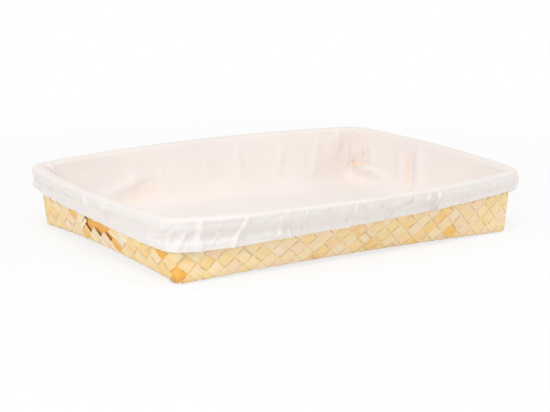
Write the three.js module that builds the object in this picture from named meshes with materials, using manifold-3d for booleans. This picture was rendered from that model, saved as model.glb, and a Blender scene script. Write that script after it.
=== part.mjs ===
import * as THREE from "three";
import { mergeVertices } from "three/addons/utils/BufferGeometryUtils.js";
import Module from "manifold-3d";

// A rectangular tray plaited from bamboo strips on the bias, with a nailed rim of two splints, a hand
// slot in each short wall, and a white cotton liner whose elastic skirt holds it over the rim.
// Millimetres, +Z up, long side along X. The origin is on the table, under the middle of the tray.

const wasm = await Module();
wasm.setup();

// Base and mouth outlines of the plaited wall
const BASE_LENGTH = 400;
const BASE_WIDTH = 295;
const BASE_BOW = 3;
const BASE_CORNER_RADIUS = 10;
const MOUTH_LENGTH = 433;
const MOUTH_WIDTH = 346;
const MOUTH_BOW_LONG = 23.4;
const MOUTH_BOW_SHORT = 9.8;
const MOUTH_CORNER_RADIUS = 20;
const WALL_HEIGHT = 64;

// Between the four corners the base arches up off the table, starting this share of the way out
const ARCH_LONG_SIDE = 4.6;
const ARCH_SHORT_SIDE = 6.9;
const ARCH_START = 0.6;

// Bamboo strips, which slant at this angle in degrees to the long sides
const STRIP_SPACING = 15;
const STRIP_ANGLE = 48.6;
const STRIP_RISE = 0.9;
const EDGE_SHARE = 0.8;
const REST_CUT = 0.5;
const REST_CELLS = 4;
const REST_STEP = 0.05;
const WALL_THICKNESS = 2;
const FLOOR_CHAMFER = 2.5;

// Rim splints and the nails through them
const OUTER_HOOP_HEIGHT = 12;
const OUTER_HOOP_THICKNESS = 5;
const INNER_HOOP_HEIGHT = 12;
const INNER_HOOP_THICKNESS = 2.6;
const SCARF_LENGTH = 30;
const SCARF_GAP = 3;
const NAILS_PER_LONG_SIDE = 4;
const NAILS_PER_SHORT_SIDE = 2;
const NAIL_RADIUS = 0.8;
const NAIL_HEAD_RADIUS = 1.8;
const NAIL_HEAD_THICKNESS = 0.9;
const NAIL_RECESS = 1;
const NAIL_SIDES = 6;

// Hand slots and the slat behind each slot's lower edge
const SLOT_LENGTH = 62;
const SLOT_BOTTOM = 18.5;
const SLOT_TOOTH = 4;
const SLOT_TOP_MARGIN = 0.5;
const SLAT_LENGTH = 92;
const SLAT_BOTTOM = 17;
const SLAT_HEIGHT = 17;
const SLAT_THICKNESS = 2;
const SLAT_STEPS = 5;

// Cotton liner
const CLOTH = 1;
const HEM_CLOTH = 0.7;
const HEM_CHANNEL = 1.4;
const HEM_DEPTH = 5;
const ELASTIC_THICKNESS = 0.8;
const ELASTIC_WIDTH = 3.4;
const GATHER_DEPTH = 0.5;
const GATHERS = 37;
const SLOW_GATHER_DEPTH = 0.3;
const SLOW_GATHERS = 11;

// Height of the skirt's hem over the table, from the front left corner round the tray
const HEM_HEIGHTS = [
  32.6, 32, 35, 37.2, 40, 41.3, 43.8, 45, 43, 41, 40.5,
  41.5, 39.5, 38.5, 39, 39.5, 39, 40, 37.2, 36, 35.4, 33.2,
];

const CLEARANCE = 0.3;
const HOOP_CLEARANCE = 0.4;
const LINER_CLEARANCE = 0.5;

// Finish
const BAMBOO = { color: 0xf0d79a, roughness: 0.55, metalness: 0 };
const RIM_BAMBOO = { color: 0xe2c283, roughness: 0.6, metalness: 0 };
const SLAT_BAMBOO = { color: 0xe6a94e, roughness: 0.6, metalness: 0 };
const COTTON = { color: 0xf3efeb, roughness: 0.95, metalness: 0 };
const ELASTIC = { color: 0xe9e6e0, roughness: 0.9, metalness: 0 };
const STEEL = { color: 0xb9b9b6, roughness: 0.35, metalness: 0.9 };

// Half-cell counts of the plait. A corner of the base is a crossing of gaps, which needs an odd sum.
const SLANT = THREE.MathUtils.degToRad(STRIP_ANGLE);
const HALF_PITCH_X = STRIP_SPACING / 2 / Math.sin(SLANT);
const HALF_PITCH_Y = STRIP_SPACING / 2 / Math.cos(SLANT);
const CELLS_X = Math.round(BASE_LENGTH / 2 / HALF_PITCH_X);
const ODD_OR_EVEN = (CELLS_X + 1) % 2;
const CELLS_Y = 2 * Math.round((BASE_WIDTH / 2 / HALF_PITCH_Y - ODD_OR_EVEN) / 2) + ODD_OR_EVEN;
const WALL_SLANT = Math.hypot(WALL_HEIGHT, (MOUTH_WIDTH - BASE_WIDTH) / 2);
const ROWS = Math.round(WALL_SLANT / HALF_PITCH_X);
const SIDE_STEPS = [2 * CELLS_X, 2 * CELLS_Y, 2 * CELLS_X, 2 * CELLS_Y];
const AROUND = 4 * (CELLS_X + CELLS_Y);

// Levels
const VALLEY = STRIP_RISE - REST_CUT;
const BASE_LIFT = (VALLEY - REST_STEP) / STRIP_RISE;
const HOOP_LEVEL = WALL_HEIGHT - OUTER_HOOP_HEIGHT / 2;
const OUTER_HOOP_SEAT = STRIP_RISE + HOOP_CLEARANCE;
const INNER_HOOP_SEAT = -WALL_THICKNESS - CLEARANCE;
const LINER_SEAT = INNER_HOOP_SEAT - INNER_HOOP_THICKNESS - LINER_CLEARANCE;

// An outline of four bowed sides with round corners. Sides and corners are arcs, each tangent to the
// next, so an offset outline keeps the centres and only changes the radii.
class Outline {
  constructor(length, width, bowLong, bowShort, radius) {
    const halfX = length / 2;
    const halfY = width / 2;
    const longRadius = arcRadius(halfX - bowShort - radius, bowLong);
    const shortRadius = arcRadius(halfY - bowLong - radius, bowShort);
    const longCentre = new THREE.Vector2(0, longRadius - halfY);
    const shortCentre = new THREE.Vector2(halfX - shortRadius, 0);
    const cornerCentre = frontRightMeeting(
      longCentre, longRadius - radius, shortCentre, shortRadius - radius,
    );
    const toLong = cornerCentre.clone().sub(longCentre);
    const toShort = cornerCentre.clone().sub(shortCentre);
    const longAngle = Math.atan2(toLong.x, -toLong.y);
    const shortAngle = Math.atan2(-toShort.y, toShort.x);
    const cornerAngle = Math.PI / 2 - longAngle - shortAngle;
    this.corner = { centre: cornerCentre, radius };
    this.halfCorner = cornerAngle / 2;
    this.sides = [
      { centre: longCentre, radius: longRadius, angle: longAngle },
      { centre: shortCentre, radius: shortRadius, angle: shortAngle },
    ];
  }

  // Point and outward normal at share t of a side, from -1 at its first corner to 1 at its last
  at(side, t, offset = 0) {
    const shape = this.sides[side % 2];
    const along = Math.abs(t) * (shape.radius * shape.angle + this.corner.radius * this.halfCorner);
    const past = along - shape.radius * shape.angle;
    const turn = past > 0 ? shape.angle + past / this.corner.radius : along / shape.radius;
    const arc = past > 0 ? this.corner : shape;
    const long = side % 2 === 0;
    const angle = long ? turn - Math.PI / 2 : -turn;
    const normal = new THREE.Vector2(Math.cos(angle), Math.sin(angle));
    const point = arc.centre.clone().addScaledVector(normal, arc.radius + offset);
    const mirror = long
      ? new THREE.Vector2(t < 0 ? -1 : 1, 1)
      : new THREE.Vector2(1, t > 0 ? -1 : 1);
    const half = side < 2 ? 1 : -1;
    return {
      point: point.multiply(mirror).multiplyScalar(half),
      normal: normal.multiply(mirror).multiplyScalar(half),
    };
  }
}

function arcRadius(halfSpan, bow) {
  return (halfSpan * halfSpan + bow * bow) / (2 * bow);
}

function frontRightMeeting(centreA, radiusA, centreB, radiusB) {
  const between = centreB.clone().sub(centreA);
  const distance = between.length();
  const along = (radiusA ** 2 - radiusB ** 2 + distance ** 2) / (2 * distance);
  const across = Math.sqrt(radiusA ** 2 - along ** 2);
  const unit = between.divideScalar(distance);
  const foot = centreA.clone().addScaledVector(unit, along);
  const square = new THREE.Vector2(-unit.y, unit.x);
  const first = foot.clone().addScaledVector(square, across);
  const second = foot.clone().addScaledVector(square, -across);
  return first.x > 0 && first.y < 0 ? first : second;
}

const base = new Outline(BASE_LENGTH, BASE_WIDTH, BASE_BOW, BASE_BOW, BASE_CORNER_RADIUS);
const mouth = new Outline(
  MOUTH_LENGTH, MOUTH_WIDTH, MOUTH_BOW_LONG, MOUTH_BOW_SHORT, MOUTH_CORNER_RADIUS,
);

// Where step a, counted in half cells from the front left corner, lies: its side and share t
function locate(a) {
  let rest = ((a % AROUND) + AROUND) % AROUND;
  let side = 0;
  while (rest >= SIDE_STEPS[side]) {
    rest -= SIDE_STEPS[side];
    side += 1;
  }
  return { side, t: (2 * rest) / SIDE_STEPS[side] - 1 };
}

function ramp(share) {
  return Math.max(0, (share - ARCH_START) / (1 - ARCH_START)) ** 2;
}

// Rise of the arched base at shares u and v of its half length and half width
function archAt(u, v) {
  const longSides = ARCH_LONG_SIDE * (1 - u * u) * ramp(Math.abs(v));
  const shortSides = ARCH_SHORT_SIDE * (1 - v * v) * ramp(Math.abs(u));
  return longSides + shortSides;
}

// Shares u and v of the base's edge at step a
function sharesAt(a) {
  const { side, t } = locate(a);
  return [[t, -1], [1, t], [-t, 1], [-1, -t]][side];
}

function edgeHeight(a) {
  return VALLEY + archAt(...sharesAt(a));
}

// Underside of the base between the four edges, blended from the outline as a Coons patch
function basePoint(u, v, up = 0) {
  const front = base.at(0, u).point;
  const back = base.at(2, -u).point;
  const right = base.at(1, v).point;
  const left = base.at(3, -v).point;
  const corner = base.at(0, 1).point;
  const x = ((1 - v) * front.x + (1 + v) * back.x + (1 - u) * left.x + (1 + u) * right.x) / 2;
  const y = ((1 - v) * front.y + (1 + v) * back.y + (1 - u) * left.y + (1 + u) * right.y) / 2;
  return new THREE.Vector3(
    x - u * Math.abs(corner.x),
    y - v * Math.abs(corner.y),
    VALLEY + archAt(u, v) + up,
  );
}

// The wall's outer face at height z, moved out by offset
function wallPoint(a, z, offset = 0) {
  const { side, t } = locate(a);
  const low = base.at(side, t);
  const high = mouth.at(side, t);
  const foot = edgeHeight(a);
  const share = (z - foot) / (WALL_HEIGHT - foot);
  const place = low.point.lerp(high.point, share);
  const normal = low.normal.lerp(high.normal, THREE.MathUtils.clamp(share, 0, 1)).normalize();
  place.addScaledVector(normal, offset);
  return new THREE.Vector3(place.x, place.y, z);
}

function rowHeight(a, row) {
  const foot = edgeHeight(a);
  return foot + ((WALL_HEIGHT - foot) * row) / ROWS;
}

// Triangles and solids
function geometryOf(triangles) {
  const geometry = new THREE.BufferGeometry().setFromPoints(triangles.flat());
  return mergeVertices(geometry, 1e-3);
}

function solidOf(geometry) {
  const bare = geometry.clone();
  bare.deleteAttribute("normal");
  bare.deleteAttribute("uv");
  const merged = mergeVertices(bare, 1e-3);
  return new wasm.Manifold(new wasm.Mesh({
    numProp: 3,
    vertProperties: merged.attributes.position.array,
    triVerts: new Uint32Array(merged.index.array),
  }));
}

function geometryFrom(solid) {
  const mesh = solid.getMesh();
  const geometry = new THREE.BufferGeometry();
  geometry.setAttribute("position", new THREE.BufferAttribute(mesh.vertProperties, 3));
  geometry.setIndex(new THREE.BufferAttribute(mesh.triVerts, 1));
  return geometry.toNonIndexed();
}

function cut(geometry, cutters) {
  return geometryFrom(cutters.reduce((solid, cutter) => solid.subtract(cutter), solidOf(geometry)));
}

// One cell of the plait. chart(u, v, lift) gives the surface round the cell's centre. Corners go
// counter-clockwise seen from outside, and gap crossings alternate between two kinds, 0 and 1: the
// edge from a 0 to a 1 is a free side of the strip on top, which stands up by lift at its middle.
function cellTriangles(chart, corners, firstKind, folded) {
  const triangles = [];
  const loop = [];
  corners.forEach((corner, k) => {
    const next = corners[(k + 1) % corners.length];
    const here = chart(corner[0], corner[1], 0);
    loop.push({ point: here, raised: false });
    if ((firstKind + k) % 2 === 0) {
      const there = chart(next[0], next[1], 0);
      const middle = chart((corner[0] + next[0]) / 2, (corner[1] + next[1]) / 2, STRIP_RISE);
      triangles.push([here, there, middle]);
      loop.push({ point: middle, raised: true });
    }
  });
  if (folded) {
    const centre = chart(0, 0, STRIP_RISE);
    loop.forEach((item, k) => triangles.push([centre, item.point, loop[(k + 1) % loop.length].point]));
    return triangles;
  }
  const first = loop.findIndex((item) => item.raised);
  const [m, b, c, n, e, f] = loop.map((_, k) => loop[(first + k) % loop.length].point);
  triangles.push([m, b, c], [m, c, n], [m, n, e], [m, e, f]);
  return triangles;
}

// Upper half of the wall's last row is cut off level with the rim
function topCellTriangles(chart, bottomKind) {
  const left = chart(-1, 0, 0);
  const bottom = chart(0, -1, 0);
  const right = chart(1, 0, 0);
  const top = chart(0, 0, STRIP_RISE);
  const leftEdge = bottomKind === 1;
  const middle = chart(leftEdge ? -0.5 : 0.5, -0.5, STRIP_RISE);
  if (leftEdge) {
    return [[left, bottom, middle], [top, left, middle], [top, middle, bottom], [top, bottom, right]];
  }
  return [[bottom, right, middle], [top, left, bottom], [top, bottom, middle], [top, middle, right]];
}

const SEEN_FROM_SIDE = [[1, 0], [0, 1], [-1, 0], [0, -1]];
const SEEN_FROM_BELOW = [[1, 0], [0, -1], [-1, 0], [0, 1]];

// The plaited outside of base and wall, closed at the mouth by a lid that the hollow removes
function plaitedOutside() {
  const triangles = [];
  for (let i = 1 - CELLS_X; i < CELLS_X; i += 1) {
    for (let j = 1 - CELLS_Y; j < CELLS_Y; j += 1) {
      if ((i + j + CELLS_X + CELLS_Y) % 2 === 0) continue;
      const resting = Math.max(Math.abs(i), Math.abs(j)) <= REST_CELLS;
      const chart = (du, dv, lift) =>
        basePoint((i + du) / CELLS_X, (j + dv) / CELLS_Y, resting ? -lift : -lift * BASE_LIFT);
      const kind = Math.abs(i + CELLS_X) % 2;
      triangles.push(...cellTriangles(chart, SEEN_FROM_BELOW, kind, false));
    }
  }
  for (let a = 1; a < AROUND; a += 2) {
    triangles.push(...cellTriangles(edgeChart(a), SEEN_FROM_SIDE, 1, true));
  }
  for (let row = 1; row < ROWS; row += 1) {
    for (let a = (row + 1) % 2; a < AROUND; a += 2) {
      const corner = Math.abs(locate(a).t) === 1;
      triangles.push(...cellTriangles(wallChart(a, row), SEEN_FROM_SIDE, (row + 1) % 2, corner));
    }
  }
  for (let a = (ROWS + 1) % 2; a < AROUND; a += 2) {
    triangles.push(...topCellTriangles(wallChart(a, ROWS), ROWS % 2));
  }
  const lid = new THREE.Vector3(0, 0, WALL_HEIGHT);
  const brim = (a) => wallChart(a, ROWS)(0, 0, Math.abs(a + ROWS) % 2 === 1 ? STRIP_RISE : 0);
  for (let a = 0; a < AROUND; a += 1) {
    triangles.push([brim(a), brim((a + 1) % AROUND), lid]);
  }
  return geometryOf(triangles);
}

function wallChart(a, row) {
  return (du, dv, lift) => wallPoint(a + du, rowHeight(a + du, row + dv), lift);
}

// A cell on the bottom edge lies half on the wall and half on the base
function edgeChart(a) {
  const [u, v] = sharesAt(a);
  const sideways = Math.abs(v) === 1 ? [-v / CELLS_X, 0] : [0, u / CELLS_Y];
  const inwards = Math.abs(v) === 1 ? [0, -v / CELLS_Y] : [-u / CELLS_X, 0];
  return (du, dv, lift) => {
    if (dv > 0) return wallPoint(a + du, rowHeight(a + du, dv), lift);
    if (dv === 0) {
      const point = wallPoint(a + du, rowHeight(a + du, 0), lift * EDGE_SHARE);
      point.z -= lift * BASE_LIFT;
      return point;
    }
    return basePoint(
      u + sideways[0] * du - inwards[0] * dv,
      v + sideways[1] * du - inwards[1] * dv,
      -lift * BASE_LIFT,
    );
  };
}

// Steps at which every ring round the tray has a section: close together in the corners
const CORNER_STEPS = [0, 0.6, 1.2];
const SECTION_STEP = 1.8;

function sectionSteps() {
  const steps = [];
  let start = 0;
  for (const length of SIDE_STEPS) {
    const curve = CORNER_STEPS[CORNER_STEPS.length - 1];
    const straight = length - 2 * curve;
    const count = Math.round(straight / SECTION_STEP);
    steps.push(...CORNER_STEPS.map((step) => start + step));
    for (let k = 1; k < count; k += 1) steps.push(start + curve + (straight * k) / count);
    steps.push(...CORNER_STEPS.slice(1).reverse().map((step) => start + length - step));
    start += length;
  }
  return steps;
}

const RING = sectionSteps();

// Skins sections of points into one closed body: a ring, or a bar with an end face at each end
function loft(sections, ring) {
  const triangles = [];
  const last = ring ? sections.length : sections.length - 1;
  for (let s = 0; s < last; s += 1) {
    const here = sections[s];
    const there = sections[(s + 1) % sections.length];
    here.forEach((point, k) => {
      const k2 = (k + 1) % here.length;
      triangles.push([point, there[k], there[k2]], [point, there[k2], here[k2]]);
    });
  }
  if (!ring) {
    const first = sections[0];
    const end = sections[sections.length - 1];
    for (let k = 1; k < first.length - 1; k += 1) {
      triangles.push([first[0], first[k], first[k + 1]], [end[0], end[k + 1], end[k]]);
    }
  }
  return geometryOf(triangles);
}

function ringOf(profileAt) {
  return loft(RING.map((a) => profileAt(a).map(([offset, z]) => wallPoint(a, z, offset))), true);
}

// Sheets across the floor: rings of points that follow the base, and a point in the middle
const FLOOR_SHARES = [(1 + ARCH_START) / 2, ARCH_START];

function floorRings(edgeOffset, up) {
  const edge = RING.map((a) => {
    const { side, t } = locate(a);
    const { point } = base.at(side, t, edgeOffset);
    return new THREE.Vector3(point.x, point.y, edgeHeight(a) + up);
  });
  const inner = FLOOR_SHARES.map((share) => RING.map((a) => {
    const [u, v] = sharesAt(a);
    return basePoint(u * share, v * share, up);
  }));
  return [edge, ...inner];
}

function bandTriangles(lower, upper) {
  return lower.flatMap((point, k) => {
    const next = (k + 1) % lower.length;
    return [[point, lower[next], upper[next]], [point, upper[next], upper[k]]];
  });
}

function sheetTriangles(rings, facingUp) {
  const triangles = [];
  const add = (a, b, c) => triangles.push(facingUp ? [a, b, c] : [a, c, b]);
  for (let r = 0; r < rings.length - 1; r += 1) {
    for (let k = 0; k < rings[r].length; k += 1) {
      const next = (k + 1) % rings[r].length;
      add(rings[r][k], rings[r][next], rings[r + 1][next]);
      add(rings[r][k], rings[r + 1][next], rings[r + 1][k]);
    }
  }
  const innermost = rings[rings.length - 1];
  const middle = new THREE.Vector3(0, 0, innermost[0].z);
  innermost.forEach((point, k) => add(point, innermost[(k + 1) % innermost.length], middle));
  return triangles;
}

// The tray's smooth hollow, open at the mouth
function hollow() {
  const above = WALL_HEIGHT + INNER_HOOP_HEIGHT;
  const levels = [SLAT_BOTTOM + SLAT_HEIGHT, WALL_HEIGHT - INNER_HOOP_HEIGHT, WALL_HEIGHT, above];
  const floor = floorRings(-WALL_THICKNESS - FLOOR_CHAMFER, WALL_THICKNESS);
  const foot = RING.map((a) =>
    wallPoint(a, edgeHeight(a) + WALL_THICKNESS + FLOOR_CHAMFER, -WALL_THICKNESS));
  const wall = levels.map((z) => RING.map((a) => wallPoint(a, z, -WALL_THICKNESS)));
  const triangles = sheetTriangles([foot, ...floor], false);
  [foot, ...wall].forEach((ring, r) => {
    const upper = wall[r];
    if (upper) triangles.push(...bandTriangles(ring, upper));
  });
  const top = new THREE.Vector3(0, 0, above);
  const lip = wall[wall.length - 1];
  lip.forEach((point, k) => triangles.push([point, lip[(k + 1) % lip.length], top]));
  return geometryOf(triangles);
}

// Each strip that ends at a slot leaves a tooth along its lower edge
function slotCutter(end) {
  const shape = new THREE.Shape();
  const half = SLOT_LENGTH / 2;
  const teeth = Math.round(SLOT_LENGTH / 2 / HALF_PITCH_Y);
  const tooth = SLOT_LENGTH / teeth;
  const ceiling = WALL_HEIGHT - OUTER_HOOP_HEIGHT - SLOT_TOP_MARGIN;
  shape.moveTo(-half, SLOT_BOTTOM + SLOT_TOOTH);
  for (let k = 0; k < teeth; k += 1) {
    shape.lineTo(-half + (k + 0.5) * tooth, SLOT_BOTTOM);
    shape.lineTo(-half + (k + 1) * tooth, SLOT_BOTTOM + SLOT_TOOTH);
  }
  shape.lineTo(half, ceiling);
  shape.lineTo(-half, ceiling);
  const depth = MOUTH_LENGTH / 2;
  const block = new THREE.ExtrudeGeometry(shape, { depth, bevelEnabled: false });
  block.translate(0, 0, depth / 2);
  const standing = new THREE.Matrix4().makeBasis(
    new THREE.Vector3(0, end, 0), new THREE.Vector3(0, 0, 1), new THREE.Vector3(end, 0, 0),
  );
  return solidOf(block.applyMatrix4(standing));
}

// Nails: a lathed pin whose head is sunk in the outer splint
function nailPlaces() {
  const places = [];
  let start = 0;
  SIDE_STEPS.forEach((length, side) => {
    const count = side % 2 === 0 ? NAILS_PER_LONG_SIDE : NAILS_PER_SHORT_SIDE;
    for (let k = 0; k < count; k += 1) places.push(start + (length * (k + 0.5)) / count);
    start += length;
  });
  return places;
}

const HOOP_FACE = OUTER_HOOP_SEAT + OUTER_HOOP_THICKNESS;
const NAIL_HEAD_TOP = HOOP_FACE - NAIL_RECESS;
const NAIL_HEAD_SEAT = NAIL_HEAD_TOP - NAIL_HEAD_THICKNESS;
const NAIL_TIP = INNER_HOOP_SEAT - INNER_HOOP_THICKNESS + CLEARANCE;

function pin(radius, headRadius, tip, seat, top) {
  const profile = [[0, tip], [radius, tip], [radius, seat], [headRadius, seat], [headRadius, top], [0, top]];
  const points = profile.map(([r, y]) => new THREE.Vector2(r, y));
  return new THREE.LatheGeometry(points, NAIL_SIDES);
}

// Turns a piece made along +Y to point out of the wall at step a, and sets it on the wall's face
function setInWall(object, a) {
  const { side, t } = locate(a);
  const low = base.at(side, t).normal;
  const share = (HOOP_LEVEL - edgeHeight(a)) / (WALL_HEIGHT - edgeHeight(a));
  const normal = low.lerp(mouth.at(side, t).normal, share).normalize();
  object.position.copy(wallPoint(a, HOOP_LEVEL));
  const out = new THREE.Vector3(normal.x, normal.y, 0);
  object.quaternion.setFromUnitVectors(new THREE.Vector3(0, 1, 0), out);
  return object;
}

function nailHole(a) {
  const past = OUTER_HOOP_THICKNESS;
  const geometry = pin(
    NAIL_RADIUS + CLEARANCE, NAIL_HEAD_RADIUS + CLEARANCE,
    NAIL_TIP - past, NAIL_HEAD_SEAT - CLEARANCE, NAIL_HEAD_TOP + past,
  );
  const holder = setInWall(new THREE.Object3D(), a);
  holder.updateMatrix();
  return solidOf(geometry.applyMatrix4(holder.matrix));
}

const NAIL_HOLES = nailPlaces().map(nailHole);

function wovenBody() {
  const cells = 2 * REST_CELLS + 1;
  const depth = WALL_HEIGHT;
  const table = new THREE.BoxGeometry(cells * HALF_PITCH_X, cells * HALF_PITCH_Y, depth);
  table.translate(0, 0, -depth / 2);
  const cutters = [solidOf(hollow()), solidOf(table), slotCutter(1), slotCutter(-1), ...NAIL_HOLES];
  return cut(plaitedOutside(), cutters);
}

// Rim splints: each is one bar bent round the tray, its ends cut on a long slant where they meet
function hoop(profile, startAt) {
  const thickness = Math.max(...profile.map(([offset]) => offset)) - profile[0][0];
  const slant = SCARF_LENGTH / HALF_PITCH_X / thickness;
  const gap = SCARF_GAP / HALF_PITCH_X;
  const inside = RING.map((a) => (a > startAt ? a : a + AROUND)).sort((p, q) => p - q);
  const clear = SCARF_LENGTH / HALF_PITCH_X + gap;
  const between = inside.filter((a) => a > startAt + clear && a < startAt + AROUND - gap);
  const endOf = (a) => profile.map(([offset, z]) =>
    wallPoint(a + slant * (offset - profile[0][0]), z, offset));
  const sectionOf = (a) => profile.map(([offset, z]) => wallPoint(a, z, offset));
  const straight = [startAt + clear, ...between].map(sectionOf);
  return loft([endOf(startAt), ...straight, endOf(startAt + AROUND - gap)], false);
}

const DOME = [-90, -45, 0, 45, 90].map((degrees) => (degrees * Math.PI) / 180);

function outerHoop() {
  const halfHeight = OUTER_HOOP_HEIGHT / 2;
  const profile = DOME.map((angle) => [
    OUTER_HOOP_SEAT + OUTER_HOOP_THICKNESS * Math.cos(angle),
    HOOP_LEVEL + halfHeight * Math.sin(angle),
  ]);
  return cut(hoop(profile, SIDE_STEPS[0] + SIDE_STEPS[1] + SIDE_STEPS[2] / 2), NAIL_HOLES);
}

function innerHoop() {
  const inner = INNER_HOOP_SEAT - INNER_HOOP_THICKNESS;
  const low = WALL_HEIGHT - INNER_HOOP_HEIGHT;
  const profile = [
    [inner, low], [INNER_HOOP_SEAT, low], [INNER_HOOP_SEAT, WALL_HEIGHT], [inner, WALL_HEIGHT],
  ];
  return cut(hoop(profile, SIDE_STEPS[0] / 2), NAIL_HOLES);
}

function slotSlat(end) {
  const middle = end > 0 ? SIDE_STEPS[0] + CELLS_Y : AROUND - CELLS_Y;
  const reach = SLAT_LENGTH / 2 / HALF_PITCH_Y;
  const outer = -WALL_THICKNESS - CLEARANCE;
  const inner = outer - SLAT_THICKNESS;
  const top = SLAT_BOTTOM + SLAT_HEIGHT;
  const profile = [[inner, SLAT_BOTTOM], [outer, SLAT_BOTTOM], [outer, top], [inner, top]];
  const sections = [];
  for (let k = 0; k <= SLAT_STEPS; k += 1) {
    const a = middle + reach * ((2 * k) / SLAT_STEPS - 1);
    sections.push(profile.map(([offset, z]) => wallPoint(a, z, offset)));
  }
  return loft(sections, false);
}

// Liner: floor panel, side panel up the wall and over the rim, and a skirt with the elastic in its hem
function linerFloor() {
  const low = WALL_THICKNESS + CLEARANCE;
  const edge = LINER_SEAT - CLOTH - CLEARANCE;
  const under = floorRings(edge, low);
  const over = floorRings(edge, low + CLOTH);
  const triangles = [...sheetTriangles(under, false), ...sheetTriangles(over, true)];
  triangles.push(...bandTriangles(under[0], over[0]));
  return geometryOf(triangles);
}

function linerSide() {
  const hoopFoot = WALL_HEIGHT - INNER_HOOP_HEIGHT;
  const rimTop = WALL_HEIGHT + CLEARANCE;
  const reach = OUTER_HOOP_SEAT - CLEARANCE;
  const face = LINER_SEAT - CLOTH;
  return ringOf((a) => {
    const foot = edgeHeight(a) + WALL_THICKNESS + CLEARANCE;
    return [
      [face, foot], [LINER_SEAT, foot], [LINER_SEAT, hoopFoot], [LINER_SEAT, rimTop],
      [reach, rimTop], [reach, rimTop + CLOTH], [face, rimTop + CLOTH], [face, hoopFoot],
    ];
  });
}

const HEM_CURVE = new THREE.CatmullRomCurve3(
  HEM_HEIGHTS.map((height) => new THREE.Vector3(0, 0, height)), true, "catmullrom",
);

function hemHeight(a) {
  return HEM_CURVE.getPoint((a % AROUND) / AROUND).z;
}

// The elastic gathers the skirt: fine folds carried on a slower wave, always outwards
function gather(a) {
  const turn = (2 * Math.PI * a) / AROUND;
  const fine = (GATHER_DEPTH * (1 + Math.sin(GATHERS * turn))) / 2;
  const slow = (SLOW_GATHER_DEPTH * (1 + Math.sin(SLOW_GATHERS * turn))) / 2;
  return fine + slow;
}

const HEM_SEAT = STRIP_RISE + HOOP_CLEARANCE;

function linerSkirt() {
  const drape = (angle, gap) => [
    OUTER_HOOP_SEAT + (OUTER_HOOP_THICKNESS + gap) * Math.cos(angle),
    HOOP_LEVEL + (OUTER_HOOP_HEIGHT / 2 + gap) * Math.sin(angle),
  ];
  return ringOf((a) => {
    const hem = hemHeight(a);
    const out = gather(a);
    const channel = HEM_SEAT + HEM_CLOTH;
    const face = channel + HEM_CHANNEL;
    const hanging = DOME.slice(1);
    const outside = hanging.map((angle) => drape(angle, CLEARANCE + CLOTH));
    const inside = hanging.map((angle) => drape(angle, CLEARANCE)).reverse();
    outside[0][0] += out;
    inside[inside.length - 1][0] += out;
    return [
      [face + HEM_CLOTH + out, hem], ...outside, ...inside,
      [face, hem + HEM_CLOTH], [channel, hem + HEM_CLOTH],
      [channel, hem + HEM_DEPTH], [HEM_SEAT, hem + HEM_DEPTH], [HEM_SEAT, hem],
    ];
  });
}

function hemElastic() {
  const inner = HEM_SEAT + HEM_CLOTH + (HEM_CHANNEL - ELASTIC_THICKNESS) / 2;
  const outer = inner + ELASTIC_THICKNESS;
  return ringOf((a) => {
    const low = hemHeight(a) + HEM_CLOTH + CLEARANCE;
    const high = low + ELASTIC_WIDTH;
    return [[inner, low], [outer, low], [outer, high], [inner, high]];
  });
}

// Assembly
function piece(name, geometry, finish) {
  const mesh = new THREE.Mesh(geometry, new THREE.MeshStandardMaterial({ ...finish, flatShading: true }));
  mesh.name = name;
  return mesh;
}

const tray = new THREE.Group();
tray.name = "tray";
tray.add(piece("woven_body", wovenBody(), BAMBOO));
tray.add(piece("rim_outer_hoop", outerHoop(), RIM_BAMBOO));
tray.add(piece("rim_inner_hoop", innerHoop(), RIM_BAMBOO));
tray.add(piece("slot_slat_right", slotSlat(1), SLAT_BAMBOO));
tray.add(piece("slot_slat_left", slotSlat(-1), SLAT_BAMBOO));
nailPlaces().forEach((a, k) => {
  const nail = pin(NAIL_RADIUS, NAIL_HEAD_RADIUS, NAIL_TIP, NAIL_HEAD_SEAT, NAIL_HEAD_TOP);
  const name = `rim_nail_${String(k + 1).padStart(2, "0")}`;
  tray.add(setInWall(piece(name, nail, STEEL), a));
});

const liner = new THREE.Group();
liner.name = "liner";
liner.add(piece("liner_floor", linerFloor(), COTTON));
liner.add(piece("liner_side", linerSide(), COTTON));
liner.add(piece("liner_skirt", linerSkirt(), COTTON));
liner.add(piece("hem_elastic", hemElastic(), ELASTIC));

const group = new THREE.Group();
group.add(tray, liner);

export default group;
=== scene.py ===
import math
from collections import namedtuple

import bpy
import numpy as np
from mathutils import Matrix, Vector


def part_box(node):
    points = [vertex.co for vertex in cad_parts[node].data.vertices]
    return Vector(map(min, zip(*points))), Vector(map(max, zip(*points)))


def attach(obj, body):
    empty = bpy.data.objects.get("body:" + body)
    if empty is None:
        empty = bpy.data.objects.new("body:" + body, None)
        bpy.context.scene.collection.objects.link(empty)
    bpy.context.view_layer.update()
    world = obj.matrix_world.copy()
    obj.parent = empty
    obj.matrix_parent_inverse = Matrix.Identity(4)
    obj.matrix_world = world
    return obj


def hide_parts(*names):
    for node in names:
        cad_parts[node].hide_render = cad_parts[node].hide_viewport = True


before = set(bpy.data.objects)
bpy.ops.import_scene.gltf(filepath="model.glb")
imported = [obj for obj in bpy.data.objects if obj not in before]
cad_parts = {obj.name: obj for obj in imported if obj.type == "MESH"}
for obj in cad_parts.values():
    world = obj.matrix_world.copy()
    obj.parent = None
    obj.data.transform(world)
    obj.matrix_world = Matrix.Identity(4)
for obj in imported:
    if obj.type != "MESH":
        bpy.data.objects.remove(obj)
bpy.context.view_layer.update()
MM = 0.001
FRONT, RIGHT, BACK, LEFT = range(4)

# Sizes that the frame gives, in millimetres
BODY_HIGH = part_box("woven_body")[1] / MM
WALL_HEIGHT = BODY_HIGH.z
SLAT_LOW, SLAT_HIGH = (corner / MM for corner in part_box("slot_slat_right"))

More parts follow.
